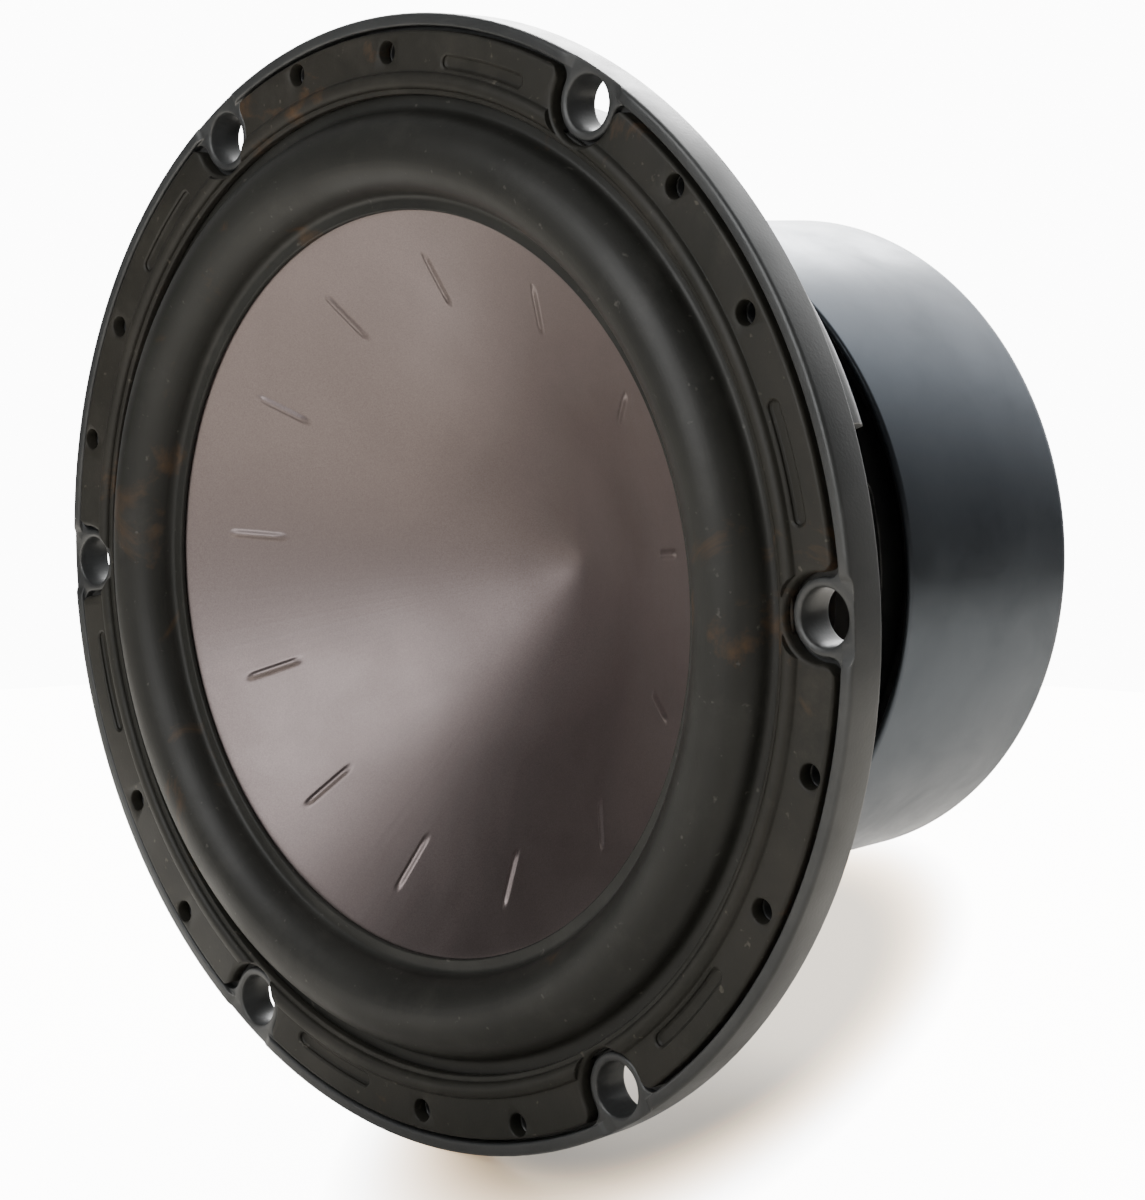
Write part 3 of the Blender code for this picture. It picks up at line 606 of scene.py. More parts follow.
BLACK_PLASTIC = sheet("button_black_look", (0.018, 0.018, 0.019), (0.03, 0.03, 0.031), 0.36, 1200.0, 0.03)
SPRING_STEEL = metal("spring_steel_look", (0.5, 0.5, 0.52), (0.65, 0.65, 0.67), 0.25, 1.0, 500.0, 0.05)
BRASS = metal("lug_brass_look", (0.62, 0.42, 0.16), (0.8, 0.6, 0.26), 0.3, 1.0, 600.0, 0.1)
BRAID = metal("tinsel_braid_look", (0.5, 0.46, 0.42), (0.68, 0.62, 0.56), 0.4, 0.95, 2500.0, 0.05)


# ---------------------------------------- pieces
def basket_profile():
    return rounded([
        (RIM_RADIUS, LIP_Y, 1.0), (RIM_RADIUS, 0.0, 0.7), (119.0, 0.0, 1.6), (117.5, 27.0, 6.0),
        (80.0, LANDING_Y, 3.0), (80.0, LANDING_REAR, 2.0), (77.0, 69.0, 3.0), (77.0, SEAT_REAR, 0.8),
        (50.0, SEAT_REAR, 0.8), (50.0, SEAT_Y, 0.8), (72.2, SEAT_Y, 1.6), (72.2, LANDING_REAR, 1.2),
        (63.0, LANDING_REAR, 0.7), (63.0, LANDING_Y, 0.7), (75.2, LANDING_Y, 2.0), (112.7, 25.0, 5.0),
        (114.2, 2.0, 2.0), (THROAT, -3.0, 1.5), (THROAT, FLOOR_Y, 0.6), (LIP_INNER, FLOOR_Y, 0.5),
        (LIP_INNER, LIP_Y, 0.6)], 4)


def window(half_angle, low_y, high_y, inner, outer, corner):
    """A wedge that widens outwards, for a window with rounded corners in the basket's wall."""
    def make():
        bm = bmesh.new()
        ends = []
        for radius in (inner, outer):
            half = radius * math.tan(math.radians(half_angle))
            size = min(corner, half * 0.6)
            outline = rounded([(-half, low_y, size), (half, low_y, size), (half, high_y, size),
                               (-half, high_y, size)], 7)
            ends.append([bm.verts.new(Vector((x, y, radius)) * MM) for x, y in outline])
        return skinned(bm, ends)
    return make


def drilled(radius, floor, surface, flare, steps=40, circle_radius=SCREW_CIRCLE):
    """A cutter for a hole whose mouth at y = surface, facing -Y, is chamfered by flare."""
    def make():
        outline = circle(radius, steps)
        bm = stacked(outline, [(0.0, floor), (0.0, surface + flare), (flare * 0.35, surface + flare * 0.35),
                               (flare, surface), (flare, surface - 4.0)])
        return moved(bm, z=circle_radius)
    return make


def small_holes(floor, surface, flare):
    return joined([spun(drilled(SMALL_HOLE, floor, surface, flare, 32, radius)(), angle)
                   for angle, radius in SMALL_HOLES])


def build_basket():
    basket = add_object("basket_look", turned_mesh(basket_profile(), even_angles(192)), PAINT)
    wide = [WINDOW_ANGLE + 120 * i for i in range(3)]
    narrow = [ARM_PAIR_ANGLE + 120 * i for i in range(3)]
    low = [ARM_PAIR_ANGLE + 60 * i for i in range(6)]
    cut(basket, around(window(21.5, 3.0, 33.0, 95.0, 130.0, 7.0), wide))
    cut(basket, around(window(26.5, 28.0, 51.0, 70.0, 130.0, 7.0), wide))
    cut(basket, around(window(15.5, 30.0, 51.0, 70.0, 130.0, 7.0), narrow))
    cut(basket, around(window(19.0, 63.0, 75.0, 68.0, 90.0, 4.0), low))

    def boss():
        bm = stacked(horseshoe(BOSS_RADIUS, 4.6, 3.0, 6.6), soft_ends(BOSS_Y, FLOOR_Y + 2.0, 0.8, 0.05))
        return moved(bm, z=SCREW_CIRCLE)

    def lip_gap():
        sections = [(6.0, LIP_Y - 3.0), (2.6, LIP_Y - 0.1), (1.0, LIP_Y + 0.5), (0.0, BOSS_Y)]
        return moved(stacked(horseshoe(BOSS_RADIUS - 1.0, 14.0, 0.1, 16.0), sections), z=SCREW_CIRCLE)

    join_shape(basket, around(boss, SCREW_ANGLES))
    cut(basket, around(lip_gap, SCREW_ANGLES))
    cut(basket, around(drilled(SCREW_HOLE, 4.0, BOSS_Y, 0.8, 56), SCREW_ANGLES))
    cut(basket, small_holes(-1.5, FLOOR_Y, 0.3))

    def tab():
        right = [(23.0, 72.0), (23.0, 105.0), (19.0, 109.0)]
        outline = [(-23.0, 72.0), *right, (-19.0, 109.0), (-23.0, 105.0)]

        def shape(offset):
            return rounded([(x + math.copysign(offset, x), z + (offset if z > 80 else 0.0), 2.0)
                            for x, z in outline], 4)
        return stacked(shape, soft_ends(LANDING_Y + 0.5, LANDING_REAR, 0.7, 0.7))

    join_shape(basket, around(tab, TERMINALS.values()))

    def tab_holes():
        return joined([stacked(circle(1.7, 20, way * BLOCK_SCREW_X, BLOCK_CENTRE), [(0, 54.0), (0, 64.0)])
                       for way in (-1, 1)])

    cut(basket, around(tab_holes, TERMINALS.values()))
    cut(basket, around(drilled(2.8, 87.0, SEAT_Y, 0.3, 24, MOTOR_BOLT_CIRCLE), MOTOR_BOLT_ANGLES))
    fit(basket, "basket", "frame")


def build_gasket():
    step = SURROUND_OUTER + GAP
    inner_floor = SURROUND_LEVEL - SURROUND_THICK / 2 - GAP
    bead = arc((BEAD_RADIUS, GASKET_Y), 2.0, 180, 360, 14)
    bead = [(r, GASKET_Y + (y - GASKET_Y) * 0.75) for r, y in bead]
    profile = [(GASKET_INNER, inner_floor), (GASKET_INNER, GASKET_Y + 0.5),
               (GASKET_INNER + 0.15, GASKET_Y + 0.15), (GASKET_INNER + 0.5, GASKET_Y), *bead[:-1],
               (BEAD_RADIUS + 2.15, GASKET_Y)]
    profile += arc((GASKET_OUTER - 0.9, GASKET_Y + 0.9), 0.9, -90, 0, 6)
    profile += [(GASKET_OUTER, FLOOR_Y - GAP), (step, FLOOR_Y - GAP), (step, inner_floor)]
    gasket = add_object("trim_gasket_look", turned_mesh(profile, even_angles(240)), GASKET_RUBBER)

    def notch():
        sections = [(0.0, FLOOR_Y + 2.0), (0.0, GASKET_Y + 0.9), (0.12, GASKET_Y + 0.45),
                    (0.45, GASKET_Y + 0.12), (0.9, GASKET_Y), (0.9, GASKET_Y - 5.0)]
        return moved(stacked(horseshoe(NOTCH_RADIUS, 3.6, 3.2, 12.0), sections), z=SCREW_CIRCLE)

    def slot():
        bm = bmesh.new()
        loops = []
        for grow, y in ((-0.5, GASKET_Y + 1.2), (0.0, GASKET_Y + 0.8), (0.0, GASKET_Y + 0.35),
                        (0.5, GASKET_Y - 0.02), (0.5, GASKET_Y - 2.0)):
            inner, outer = SCREW_CIRCLE - 4.6 - grow, SCREW_CIRCLE - 1.4 + grow
            middle, half = (inner + outer) / 2, (outer - inner) / 2
            run = SLOT_HALF_ANGLE - math.degrees(1.6 / SCREW_CIRCLE)
            points = clock_arc(outer, [run * (-1 + i / 8) for i in range(17)])
            points += end_cap(middle, half, run, 1)
            points += clock_arc(inner, [run * (1 - i / 8) for i in range(17)])
            points += end_cap(middle, half, -run, -1)
            loops.append([bm.verts.new((x * MM, y * MM, z * MM)) for x, z in points])
        return skinned(bm, loops)

    cut(gasket, around(notch, SCREW_ANGLES))
    cut(gasket, small_holes(FLOOR_Y + 2.0, GASKET_Y, 0.4))
    cut(gasket, around(slot, SLOT_ANGLES))
    fit(gasket, "trim_gasket", "frame")


def clock_arc(radius, angles):
    return [(radius * math.sin(math.radians(a)), radius * math.cos(math.radians(a))) for a in angles]


def end_cap(middle, half, angle, way):
    """The half circle that closes one end of a curved slot."""
    turn = math.radians(angle)
    points = []
    for i in range(1, 8):
        swing = math.pi * i / 8
        across = half * math.cos(swing) * way
        along = half * math.sin(swing) * way
        radius = middle + across
        points.append((radius * math.sin(turn) + along * math.cos(turn),
                       radius * math.cos(turn) - along * math.sin(turn)))
    return points


def build_surround():
    half = SURROUND_THICK / 2
    outer = arc((ROLL_CENTRE, SURROUND_LEVEL), ROLL_RADIUS + half, 180, 360, 36)
    inner = arc((ROLL_CENTRE, SURROUND_LEVEL), ROLL_RADIUS - half, 360, 180, 32)
    # small fillets where the roll leaves its flat edges
    face = SURROUND_LEVEL - half
    left = [(outer[0][0] - 1.3, face), (outer[0][0] - 0.7, face - 0.12), (outer[0][0] - 0.25, face - 0.5)]
    right = [(2 * ROLL_CENTRE - x, y) for x, y in reversed(left)]
    profile = [(SURROUND_INNER, SURROUND_LEVEL), (SURROUND_INNER + 0.1, face + 0.25),
               (SURROUND_INNER + 0.35, face), *left]
    profile += [point for point in outer if point[1] < face - 0.9]
    profile += [*right, (SURROUND_OUTER - 0.3, face), (SURROUND_OUTER, SURROUND_LEVEL - 0.3),
                (SURROUND_OUTER, SURROUND_LEVEL + half), *inner, (SURROUND_INNER, SURROUND_LEVEL + half)]
    surround = add_object("surround_look", turned_mesh(profile, even_angles(240)), ROLL_RUBBER)
    fit(surround, "surround", None)
    stretch(surround, lambda p: 1.0 - ease(math.hypot(p.x, p.z), 91.0, 111.2))


def cone_front(radius):
    return CONE_APEX_Y - CONE_SLOPE * math.hypot(radius, CONE_TIP_ROUND)


def rib_height(radius, angle):
    """Thin radial ridges pressed into the cone, towards the front."""
    pitch = 360.0 / RIB_COUNT
    away = (angle - RIB_PHASE + pitch / 2) % pitch - pitch / 2
    across = abs(radius * math.sin(math.radians(away)))
    ends = ease(radius, 66.4, 68.8) * (1.0 - ease(radius, 77.4, 80.2))
    return -0.7 * ends * (1.0 - ease(across, 0.1, 1.3))


def cone_angles():
    near = (0.0, 0.12, 0.25, 0.4, 0.55, 0.7, 0.87, 1.05, 1.3)
    pitch = 360.0 / RIB_COUNT
    far = pitch - 2 * near[-1]
    angles = []
    for k in range(RIB_COUNT):
        middle = RIB_PHASE + pitch * k
        angles += [middle - a for a in reversed(near[1:])] + [middle + a for a in near]
        angles += [middle + near[-1] + far * (i + 1) / 13 for i in range(12)]
    return angles


def build_cone():
    # closer together where the ribs end and near the tip
    radii = [89.2, 88.0, 86.0, 84.0, 82.0, 81.0, 80.2, 79.6, 79.0, 78.4, 77.8, 77.0, 75.0, 73.0, 71.0, 69.6,
             68.8, 68.2, 67.6, 67.0, 66.4, 65.6, 60.0, 54.0, 48.0, 42.0, 36.0, 30.0, 24.0, 19.0, 15.0, 12.0,
             9.5, 7.5, 5.5, 4.0, 2.6, 1.3, 0.0]
    front = [(r, cone_front(r)) for r in radii]
    rear = [(r, cone_front(r) + CONE_THICK_Y) for r in reversed(radii)]
    profile = [(CONE_LIP_OUTER, CONE_LIP_Y + 0.2), (CONE_LIP_OUTER - 0.2, CONE_LIP_Y),
               (CONE_EDGE + 0.6, CONE_LIP_Y), (CONE_EDGE, CONE_LIP_Y + 0.1), *front, *rear,
               (CONE_EDGE + 0.4, CONE_LIP_Y + 1.4), (CONE_LIP_OUTER, CONE_LIP_Y + 1.4)]
    cone = add_object("cone_look", turned_mesh(profile, cone_angles(), rib_height), CONE_FILM)
    fit(cone, "cone", "cone_assembly")


def turned_piece(name, corners, pieces, steps, surface, body="frame"):
    """A plain turned piece from the rounded corners of its section."""
    turned = turned_mesh(rounded(corners, pieces), even_angles(steps))
    fit(add_object(f"{name}_look", turned, surface), name, body)


def build_coil():
    neck = cone_front(FORMER_OUTER) + CONE_THICK_Y + 1.0
    turned_piece("coil_former", [
        (FORMER_INNER, neck, 0.1), (FORMER_OUTER, neck, 0.1), (FORMER_OUTER, FORMER_REAR, 0.1),
        (FORMER_INNER, FORMER_REAR, 0.1)], 2, 128, FORMER_SHEET, "cone_assembly")
    near = FORMER_OUTER + GAP
    for name, front, rear in (("voice_coil_a", 74.0, 88.85), ("voice_coil_b", 89.15, 104.0)):
        turns = 24
        wire = 0.25
        pitch = (rear - front) / turns
        line = [(near, rear), (near, front)]
        for i in range(turns):
            for share, bulge in ((0.0, 0.0), (0.2, 0.75), (0.5, 1.0), (0.8, 0.75)):
                line.append((COIL_OUTER - wire + wire * bulge, front + pitch * (i + share)))
        line.append((COIL_OUTER - wire, rear))
        winding = add_object(f"{name}_look", turned_mesh(line, even_angles(96)), COPPER)
        fit(winding, name, "cone_assembly")
    behind_cone = CONE_THICK_Y + 2 * GAP
    turned_piece("neck_coupler", [
        (near, cone_front(near) + behind_cone, 0.3), (34.0, cone_front(34.0) + behind_cone, 0.3),
        (34.0, 36.0, 1.2), (30.0, 40.0, 2.5), (28.5, 49.0, 0.8), (near, 49.0, 0.2)], 5, 96, RESIN,
        "cone_assembly")


def build_spider():
    half_thick = 0.45
    waves = 3
    steps = 72
    line = [(FORMER_OUTER + GAP, SPIDER_Y)]
    for i in range(steps + 1):
        radius = SPIDER_NECK + (SPIDER_FLAT - SPIDER_NECK) * i / steps
        line.append((radius, SPIDER_Y + 2.6 * math.sin(2 * math.pi * waves * i / steps)))
    line.append((SPIDER_OUTER, SPIDER_Y))
    profile = [(r, y - half_thick) for r, y in line] + [(r, y + half_thick) for r, y in reversed(line)]
    spider = add_object("spider_look", turned_mesh(profile, even_angles(160)), CLOTH)
    fit(spider, "spider", None)
    stretch(spider, lambda p: 1.0 - ease(math.hypot(p.x, p.z), SPIDER_NECK, SPIDER_FLAT))
    rear = SPIDER_Y - half_thick - GAP
    plain_ring("spider_clamp_ring", 64.0, SPIDER_OUTER, rear, rear - 2.2, 0.3, BOARD, 128)


def plain_ring(name, inner, outer, front, rear, edge, surface, steps=144):
    corners = [(inner, front, edge), (outer, front, edge), (outer, rear, edge), (inner, rear, edge)]
    turned_piece(name, corners, 3, steps, surface)


def build_motor():
    plate = rounded([(PLATE_INNER, TOP_PLATE_Y, 0.5), (PLATE_OUTER, TOP_PLATE_Y, 0.9),
                     (PLATE_OUTER, TOP_PLATE_REAR, 0.9), (PLATE_INNER, TOP_PLATE_REAR, 0.5)], 3)
    top = add_object("top_plate_look", turned_mesh(plate, even_angles(144)), BLACK_STEEL)
    bolt_hole = drilled(2.8, TOP_PLATE_REAR + 3.0, TOP_PLATE_Y, 0.4, 24, MOTOR_BOLT_CIRCLE)
    cut(top, around(bolt_hole, MOTOR_BOLT_ANGLES))
    fit(top, "top_plate", "frame")
    for name, front, rear in (("magnet_front", TOP_PLATE_REAR + GAP, MAGNET_SPLIT),
                              ("magnet_rear", MAGNET_SPLIT + GAP, MAGNET_REAR)):
        plain_ring(name, MAGNET_INNER, MAGNET_OUTER, front, rear, 1.2, FERRITE)
    yoke_front = MAGNET_REAR + GAP
    plain_ring("shorting_ring", PLATE_INNER + 0.7, MAGNET_INNER - 0.7, TOP_PLATE_REAR + 4.0, MAGNET_REAR,
               0.4, ALUMINIUM)
    recess = SCREEN_RADIUS + GAP
    turned_piece("yoke", [
        (VENT_RADIUS, TOP_PLATE_Y, 0.6), (POLE_RADIUS, TOP_PLATE_Y, 0.8), (POLE_RADIUS, yoke_front, 0.3),
        (PLATE_OUTER, yoke_front, 0.8), (PLATE_OUTER, YOKE_REAR, 0.9), (recess, YOKE_REAR, 0.5),
        (recess, YOKE_REAR - 1.6, 0.1), (14.0, YOKE_REAR - 1.6, 0.6), (10.5, YOKE_REAR - 6.0, 3.0),
        (VENT_RADIUS, YOKE_REAR - 14.0, 4.0)], 4, 144, BLACK_STEEL)


def build_screen():
    front, rear = YOKE_REAR - 1.3, YOKE_REAR - GAP
    rim = rounded([(0.0, front, 0.0), (SCREEN_RADIUS, front, 0.2), (SCREEN_RADIUS, rear, 0.3),
                   (0.0, rear, 0.0)], 3)
    screen = add_object("vent_screen_look", turned_mesh(rim, even_angles(96)), SCREEN_STEEL)
    pitch = 2.3
    through = [(0.0, YOKE_REAR - 3.0), (0.0, YOKE_REAR + 2.0)]
    holes = []
    for row in range(-7, 8):
        for column in range(-8, 9):
            x = (column + 0.5 * (row % 2)) * pitch
            z = row * pitch * math.sqrt(3) / 2
            if math.hypot(x, z) < 14.9:
                holes.append(stacked(circle(0.82, 12, x, z), through))
    cut(screen, joined(holes))
    fit(screen, "vent_screen", "frame")


def build_cover():
    bend = 4.0
    wall = COVER_OUTER - COVER_INNER
    outer = arc((COVER_OUTER - bend, COVER_REAR - bend), bend, 0, 90, 14)
    inner = arc((COVER_OUTER - bend, COVER_REAR - bend), bend - wall, 90, 0, 8)
    profile = arc((COVER_INNER + wall / 2, COVER_FRONT + wall / 2), wall / 2, 180, 360, 8)
    lip = arc((COVER_LIP_INNER + wall / 2, COVER_REAR - wall / 2), wall / 2, 90, 270, 8)
    profile += [*outer, *lip, *inner]
    cover = add_object("motor_cover_look", turned_mesh(profile, even_angles(256)), COVER_METAL)
    fit(cover, "motor_cover", "frame")


def screw_shape(head_radius, head_height, shank_radius, length, dome):
    """A bolt along +Y from under its head, with a threaded shank."""
    profile = [(0.0, -head_height)]
    profile += arc((head_radius - dome, -head_height + dome), dome, -90, 0, 5)
    profile += [(head_radius, -0.15), (head_radius - 0.15, 0.0), (shank_radius, 0.0)]
    pitch = 0.8
    y = 0.6
    root = shank_radius - 0.3
    while y < length - 1.2:
        profile += [(root, y), (shank_radius, y + pitch * 0.4), (shank_radius, y + pitch * 0.5),
                    (root, y + pitch * 0.9)]
        y += pitch
    profile += [(shank_radius - 0.1, length - 1.0), (shank_radius * 0.5, length), (0.0, length)]
    return turned_mesh(profile, even_angles(40))


def build_motor_bolts():
    for i, angle in enumerate(MOTOR_BOLT_ANGLES):
        bolt = add_object(f"motor_bolt_{i + 1}_look", screw_shape(4.6, 3.2, 2.4, 15.5, 0.9), ZINC)
        cut(bolt, stacked(circle(2.3, 6), [(0.4, -4.0), (0.35, -3.2), (0.0, -2.9), (0.0, -1.4)]))
        place(bolt, angle, MOTOR_BOLT_CIRCLE, SEAT_Y - GAP)
        fit(bolt, f"motor_bolt_{i + 1}", "frame")


def build_terminal_block(side, angle):
    length = BLOCK_REAR - BLOCK_FRONT
    outline = rectangle(21.0, -BLOCK_HALF_DEPTH, BLOCK_HALF_DEPTH, 3.0)
    block = add_object(f"terminal_block_{side}_look", stacked(outline, soft_ends(0.0, length, 0.5, 1.0)),
                       BLOCK_PLASTIC)
    bore = [(0.0, BORE_FLOOR - BLOCK_FRONT), (0.0, length - 0.6), (0.6, length), (0.6, length + 3.0)]
    cut(block, joined([stacked(circle(4.8, 48, offset), bore) for offset in POLES.values()]))
    cutters = []
    for offset in POLES.values():
        wire = stacked(circle(WIRE_HOLE, 24), [(0.0, 0.0), (0.0, 9.0), (0.5, 9.5), (0.5, 12.0)])
        cutters.append(moved(spun(wire, 90, "X"), x=offset, y=WIRE_HOLE_Y - BLOCK_FRONT))
    cut(block, joined(cutters))
    through = [(0.0, -3.0), (0.0, length + 3.0)]
    cutters = [stacked(circle(1.7, 20, way * BLOCK_SCREW_X), through) for way in (-1, 1)]
    # grooves across the rear face, between the two bores
    for z in (-4.5, -1.5, 1.5, 4.5):
        groove = rectangle(2.6, z - 0.45, z + 0.45, 0.4, 3)
        cutters.append(stacked(groove, [(0.0, length - 0.5), (0.25, length + 2.0)]))
    cut(block, joined(cutters))
    place(block, angle, BLOCK_CENTRE, BLOCK_FRONT)
    fit(block, f"terminal_block_{side}", "frame")


def build_button(side, pole, angle, offset, surface):
    length = BUTTON_REAR - BUTTON_FRONT
    profile = [(0.0, 0.0)]
    profile += arc((3.9, 0.5), 0.5, -90, 0, 4)
    profile += arc((3.2, length - 1.2), 1.2, 0, 90, 7)
    profile += [(2.4, length - 0.15), (1.2, length - 0.5), (0.0, length - 0.6)]
    name = f"terminal_button_{side}_{pole}"
    button = add_object(f"{name}_look", turned_mesh(profile, even_angles(48)), surface)
    wire = stacked(circle(WIRE_HOLE, 24), [(0.0, -6.4), (0.0, 6.4)])
    cut(button, moved(spun(wire, 90, "X"), y=WIRE_HOLE_Y + 3.0 - BUTTON_FRONT))
    place(button, angle, BLOCK_CENTRE, BUTTON_FRONT, offset)
    fit(button, name, f"button_{side}_{pole}")


def tube(points, radius, sides):
    """A round tube through the points, in millimetres, with capped ends."""
    bm = bmesh.new()
    loops = []
    for i, point in enumerate(points):
        ahead = points[min(i + 1, len(points) - 1)] - points[max(i - 1, 0)]
        ahead.normalize()
        aside = ahead.cross(Vector((0.0, 1.0, 0.0)) if abs(ahead.y) < 0.9 else Vector((1.0, 0.0, 0.0)))
        aside.normalize()
        up = aside.cross(ahead)
        loop = []
        for k in range(sides):
            turn = 2 * math.pi * k / sides
            away = (aside * math.cos(turn) + up * math.sin(turn)) * radius
            loop.append(bm.verts.new((point + away) * MM))
        loops.append(loop)
    return skinned(bm, loops)


def build_spring(side, pole, angle, offset):
    length = BUTTON_FRONT - BORE_FLOOR - 2 * GAP
    turns = 4
    wire = 0.35
    points = []
    for i in range(turns * 20 + 1):
        turn = 2 * math.pi * i / 20
        rise = wire + (length - 2 * wire) * ease(i / (turns * 20), -0.12, 1.12)
        points.append(Vector((2.9 * math.cos(turn), rise, 2.9 * math.sin(turn))))
    low, high = points[0].y, points[-1].y
    for point in points:
        point.y = wire + (length - 2 * wire) * (point.y - low) / (high - low)
    name = f"terminal_spring_{side}_{pole}"
    spring = add_object(f"{name}_look", tube(points, wire, 10), SPRING_STEEL)
    place(spring, angle, BLOCK_CENTRE, BORE_FLOOR + GAP, offset)
    fit(spring, name, None)
    start, end = BORE_FLOOR + GAP, BUTTON_FRONT - GAP
    stretch(spring, lambda p: min(max((p.y - start) / (end - start), 0.0), 1.0))


def build_lug(side, pole, angle, offset):
    name = f"solder_lug_{side}_{pole}"
    plate = stacked(rectangle(2.0, 0.0, 5.0, 0.9, 4), soft_ends(-3.0, -2.2, 0.15, 0.15, 2))
    lug = add_object(f"{name}_look", plate, BRASS)
    join_shape(lug, stacked(rectangle(2.0, 0.0, 1.0, 0.2, 2), [(0.0, -2.6), (0.0, -GAP)]))
    cut(lug, stacked(circle(0.9, 20, 0.0, 3.2), [(0.0, -4.0), (0.0, -1.0)]))
    lug.data.transform(Matrix(((1, 0, 0, 0), (0, 0, 1, 0), (0, 1, 0, 0), (0, 0, 0, 1))))
    place(lug, angle, BLOCK_CENTRE - BLOCK_HALF_DEPTH, BLOCK_FRONT + 3.0, offset)
    fit(lug, name, "frame")


def build_block_screws(side, angle):
    for number, way in ((1, -1), (2, 1)):
        name = f"terminal_screw_{side}_{number}"
        screw = add_object(f"{name}_look", screw_shape(3.0, 2.0, 1.4, 18.0, 1.0), ZINC)
        for half_x, half_z in ((1.7, 0.35), (0.35, 1.7)):
            cut(screw, stacked(rectangle(half_x, -half_z, half_z, 0.05, 1), [(0.1, -3.0), (-0.05, -0.9)]))
        place(screw, angle, BLOCK_CENTRE, BLOCK_REAR + GAP, way * BLOCK_SCREW_X, flip=True)
        fit(screw, name, "frame")


def build_lead(side, pole, angle, offset):
    """Three strands twisted together, from the solder lug across to the coil former."""
    turn = Matrix.Rotation(math.radians(angle), 3, "Y")
    pieces = 110
    winds = 11
    wind_radius = 0.42
    sag = 4.2
    strands = []
    for strand in range(3):
        points = []
        for i in range(pieces + 1):
            share = i / pieces
            radius = LEAD_OUTER + (LEAD_INNER - LEAD_OUTER) * share
            y = LEAD_OUTER_Y + (LEAD_INNER_Y - LEAD_OUTER_Y) * share + sag * math.sin(math.pi * share)
            x = offset * (1.0 - share) + 0.42 * offset * share
            wind = 2 * math.pi * (share * winds + strand / 3)
            x += wind_radius * math.cos(wind)
            y += wind_radius * math.sin(wind)
            points.append(turn @ Vector((x, y, radius)))
        strands.append(tube(points, 0.46, 7))
    name = f"tinsel_lead_{side}_{pole}"
    lead = add_object(f"{name}_look", joined(strands), BRAID)
    fit(lead, name, None)
    stretch(lead, lambda p: 1.0 - ease(math.hypot(p.x, p.z), 29.0, 76.0))


def build_terminals():
    for side, angle in TERMINALS.items():
        build_terminal_block(side, angle)
        build_block_screws(side, angle)
        for pole, offset in POLES.items():
            build_button(side, pole, angle, offset, RED_PLASTIC if pole == "plus" else BLACK_PLASTIC)
            build_spring(side, pole, angle, offset)
            build_lug(side, pole, angle, offset)
            build_lead(side, pole, angle, offset)


# ---------------------------------------- camera and studio
# Places and sizes are in metres and light powers in watts.
CAMERA_PLACE = (0.48899, -0.45056, 0.08597)
CAMERA_RIGHT = (0.71344, 0.70070, -0.00537)
CAMERA_UP = (-0.04551, 0.05400, 0.99751)
CAMERA_BACK = (0.69924, -0.71141, 0.07041)
# Name, place, aim, size and power of each lamp
LAMPS = (
    ("window", (-0.9, 1.2, 1.1), (0.0, 0.05, 0.0), (1.0, 0.8), 38.0),
    ("front", (0.04, -0.58, 0.3), (-0.03, 0.0, 0.0), (0.5, 0.5), 3.4),
    ("left", (-0.62, -0.6, -0.02), (-0.05, 0.0, 0.0), (0.3, 0.3), 0.08),
    ("low", (-0.17, -0.08, -0.128), (-0.01, 0.02, 0.05), (0.1, 0.1), 0.03))
# Direction, narrowness and strength of each part of the room's light, and its least strength
ROOM_LIGHT = (((-0.68, 0.7, 0.15), 12.0, 11.0), ((-0.15, 0.7, 0.7), 5.0, 3.6))
ROOM_LEAST = 0.04
# The strength at which the room and the paper look white
BURNT_OUT = 12.0
# The painted shadow on the paper, where it does not glow white: its centre, and its two axes as inverse
# lengths
SHADOW_PATCH_CENTRE = (-0.03, 0.13, 0.0)
SHADOW_PATCH_AXES = ((-2.0, 3.95, 0.0), (13.7, 7.0, 0.0))


def add_camera():
    data = bpy.data.cameras.new("camera")
    data.lens = 82.786
    data.shift_y = -0.15
    data.sensor_width = 36.0
    camera = bpy.data.objects.new("camera", data)
    turn = Matrix((CAMERA_RIGHT, CAMERA_UP, CAMERA_BACK)).transposed().to_4x4()
    camera.matrix_world = Matrix.Translation(CAMERA_PLACE) @ turn
    bpy.context.scene.collection.objects.link(camera)
    bpy.context.scene.camera = camera


def add_lamp(name, where, towards, size, power):
    data = bpy.data.lights.new(name, "AREA")
    data.shape = "RECTANGLE"
    data.size, data.size_y = size
    data.energy = power
    lamp = bpy.data.objects.new(name, data)
    lamp.visible_camera = False
    aim = Vector(towards) - Vector(where)
    lamp.matrix_world = Matrix.Translation(where) @ aim.to_track_quat("-Z", "Y").to_matrix().to_4x4()
    bpy.context.scene.collection.objects.link(lamp)


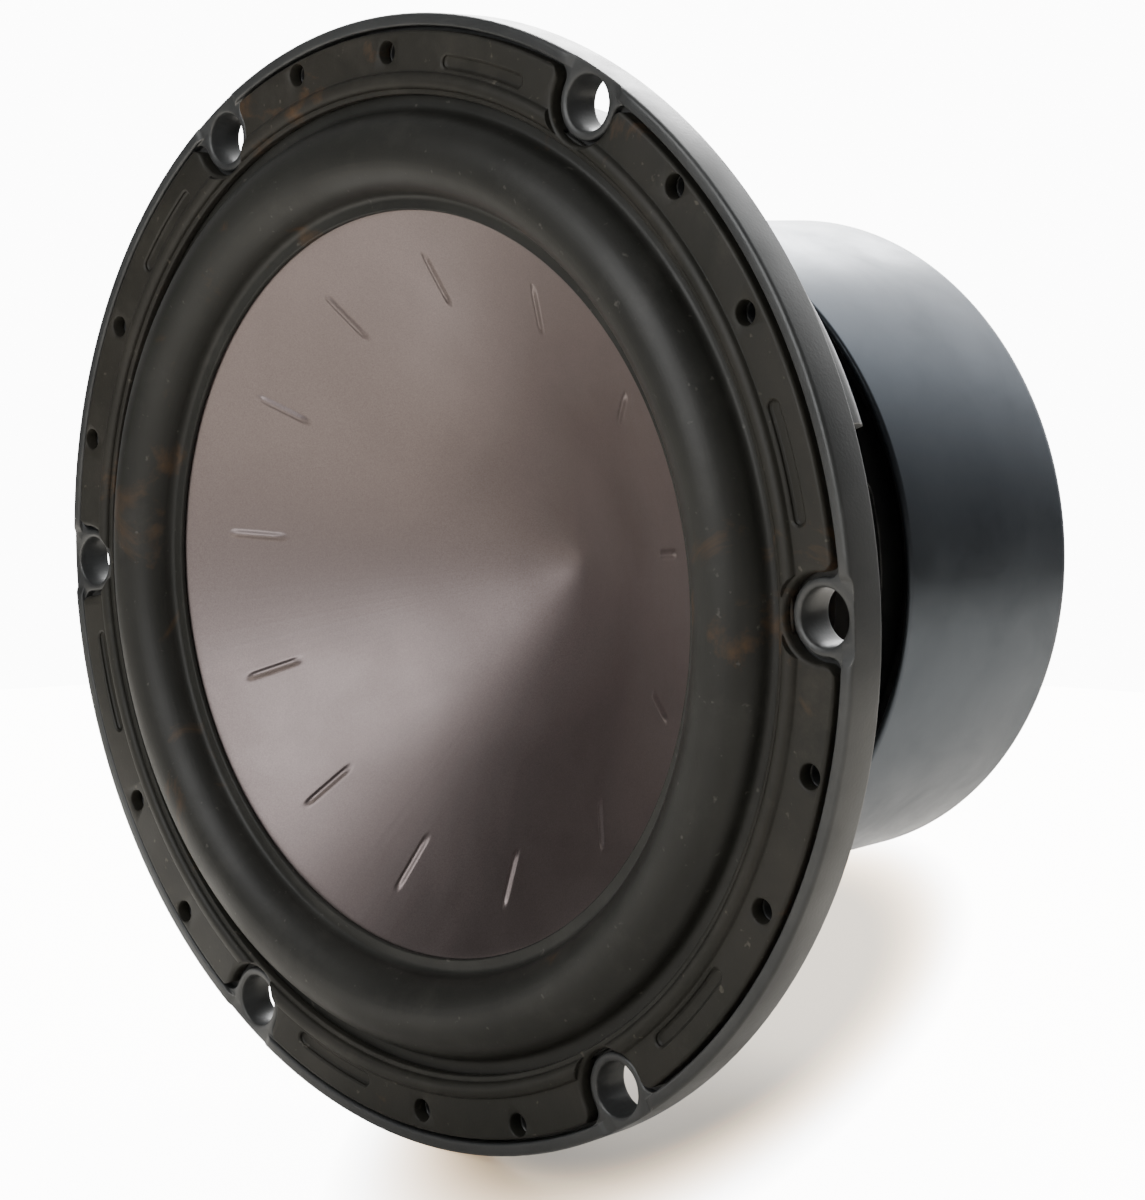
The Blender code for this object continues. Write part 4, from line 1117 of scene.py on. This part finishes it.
def add_floor():
    bm = spun(stacked(circle(700.0, 64), [(0.0, -4.0), (0.0, 0.0)]), 90.0, "X")
    drop = -RIM_RADIUS * MM - max(v.co.z for v in bm.verts)
    bmesh.ops.translate(bm, verts=bm.verts, vec=(0.0, 0.0, drop))
    made, tree, shader = begin("floor_paper", 0.6)
    tint = level(tree, noise(tree, 3.0, 4.0), 0.3, 0.7)
    seen = node(tree, "ShaderNodeLightPath").outputs["Is Camera Ray"]
    paper = colour_mix(tree, tint, (0.80, 0.75, 0.67), (0.84, 0.80, 0.73))
    # painted shadow: for the camera only, the paper turns a darker brown, which shows in the patch that does
    # not glow
    paper = colour_mix(tree, math_of(tree, "MULTIPLY", seen, 0.85), paper, (0.62, 0.50, 0.34))
    link(tree, paper, shader, "Base Color")
    # the paper burns out to the white of the room away from the speaker by glowing for the camera; the patch
    # left without glow is a painted shadow, with a painted orange edge
    spot = node(tree, "ShaderNodeVectorMath", {0: place_of(tree), 1: SHADOW_PATCH_CENTRE}, operation="SUBTRACT")
    spot = spot.outputs[0]
    along, across = [node(tree, "ShaderNodeVectorMath", {0: spot, 1: way}, operation="DOT_PRODUCT")
                     for way in SHADOW_PATCH_AXES]
    away = node(tree, "ShaderNodeCombineXYZ", {"X": along.outputs["Value"], "Y": across.outputs["Value"]})
    away = node(tree, "ShaderNodeVectorMath", {0: away.outputs[0]}, operation="LENGTH")
    glow = level(tree, away.outputs["Value"], 0.6, 1.05)
    glow = math_of(tree, "MULTIPLY", math_of(tree, "POWER", glow, 2.0), seen)
    # painted shadow edge: the glow is orange where it starts, round the patch
    shadow_edge_warmth = level(tree, glow, 0.0, 0.6)
    link(tree, colour_mix(tree, shadow_edge_warmth, (1.0, 0.7, 0.4), (1.0, 1.0, 1.0)), shader, "Emission Color")
    link(tree, math_of(tree, "MULTIPLY", glow, BURNT_OUT), shader, "Emission Strength")
    add_object("floor", bm, made)


def lobe(tree, direction, centre, power, amount):
    """Light from around one direction: amount times the cosine to it, raised to power."""
    facing = node(tree, "ShaderNodeVectorMath", {0: direction, 1: Vector(centre).normalized()},
                  operation="DOT_PRODUCT").outputs["Value"]
    raised = math_of(tree, "POWER", math_of(tree, "MAXIMUM", facing, 0.0), power)
    return math_of(tree, "MULTIPLY", raised, amount)


def add_world():
    """A white room: bright behind the speaker and above, dim on the side it is looked at from."""
    world = bpy.data.worlds.new("studio")
    world.use_nodes = True
    bpy.context.scene.world = world
    tree = world.node_tree
    background = tree.nodes["Background"]
    direction = node(tree, "ShaderNodeTexCoord").outputs["Generated"]
    total = ROOM_LEAST
    for centre, power, amount in ROOM_LIGHT:
        total = math_of(tree, "ADD", lobe(tree, direction, centre, power, amount), total)
    seen = node(tree, "ShaderNodeLightPath").outputs["Is Camera Ray"]
    brightness = node(tree, "ShaderNodeMix", {0: seen, 2: total, 3: BURNT_OUT}, data_type="FLOAT").outputs[0]
    background.inputs["Color"].default_value = (1.0, 1.0, 1.0, 1.0)
    tree.links.new(brightness, background.inputs["Strength"])


def main():
    build_basket()
    build_gasket()
    build_surround()
    build_cone()
    build_coil()
    build_spider()
    build_motor()
    build_screen()
    build_cover()
    build_motor_bolts()
    build_terminals()
    add_camera()
    add_floor()
    add_world()
    for lamp in LAMPS:
        add_lamp(*lamp)


main()
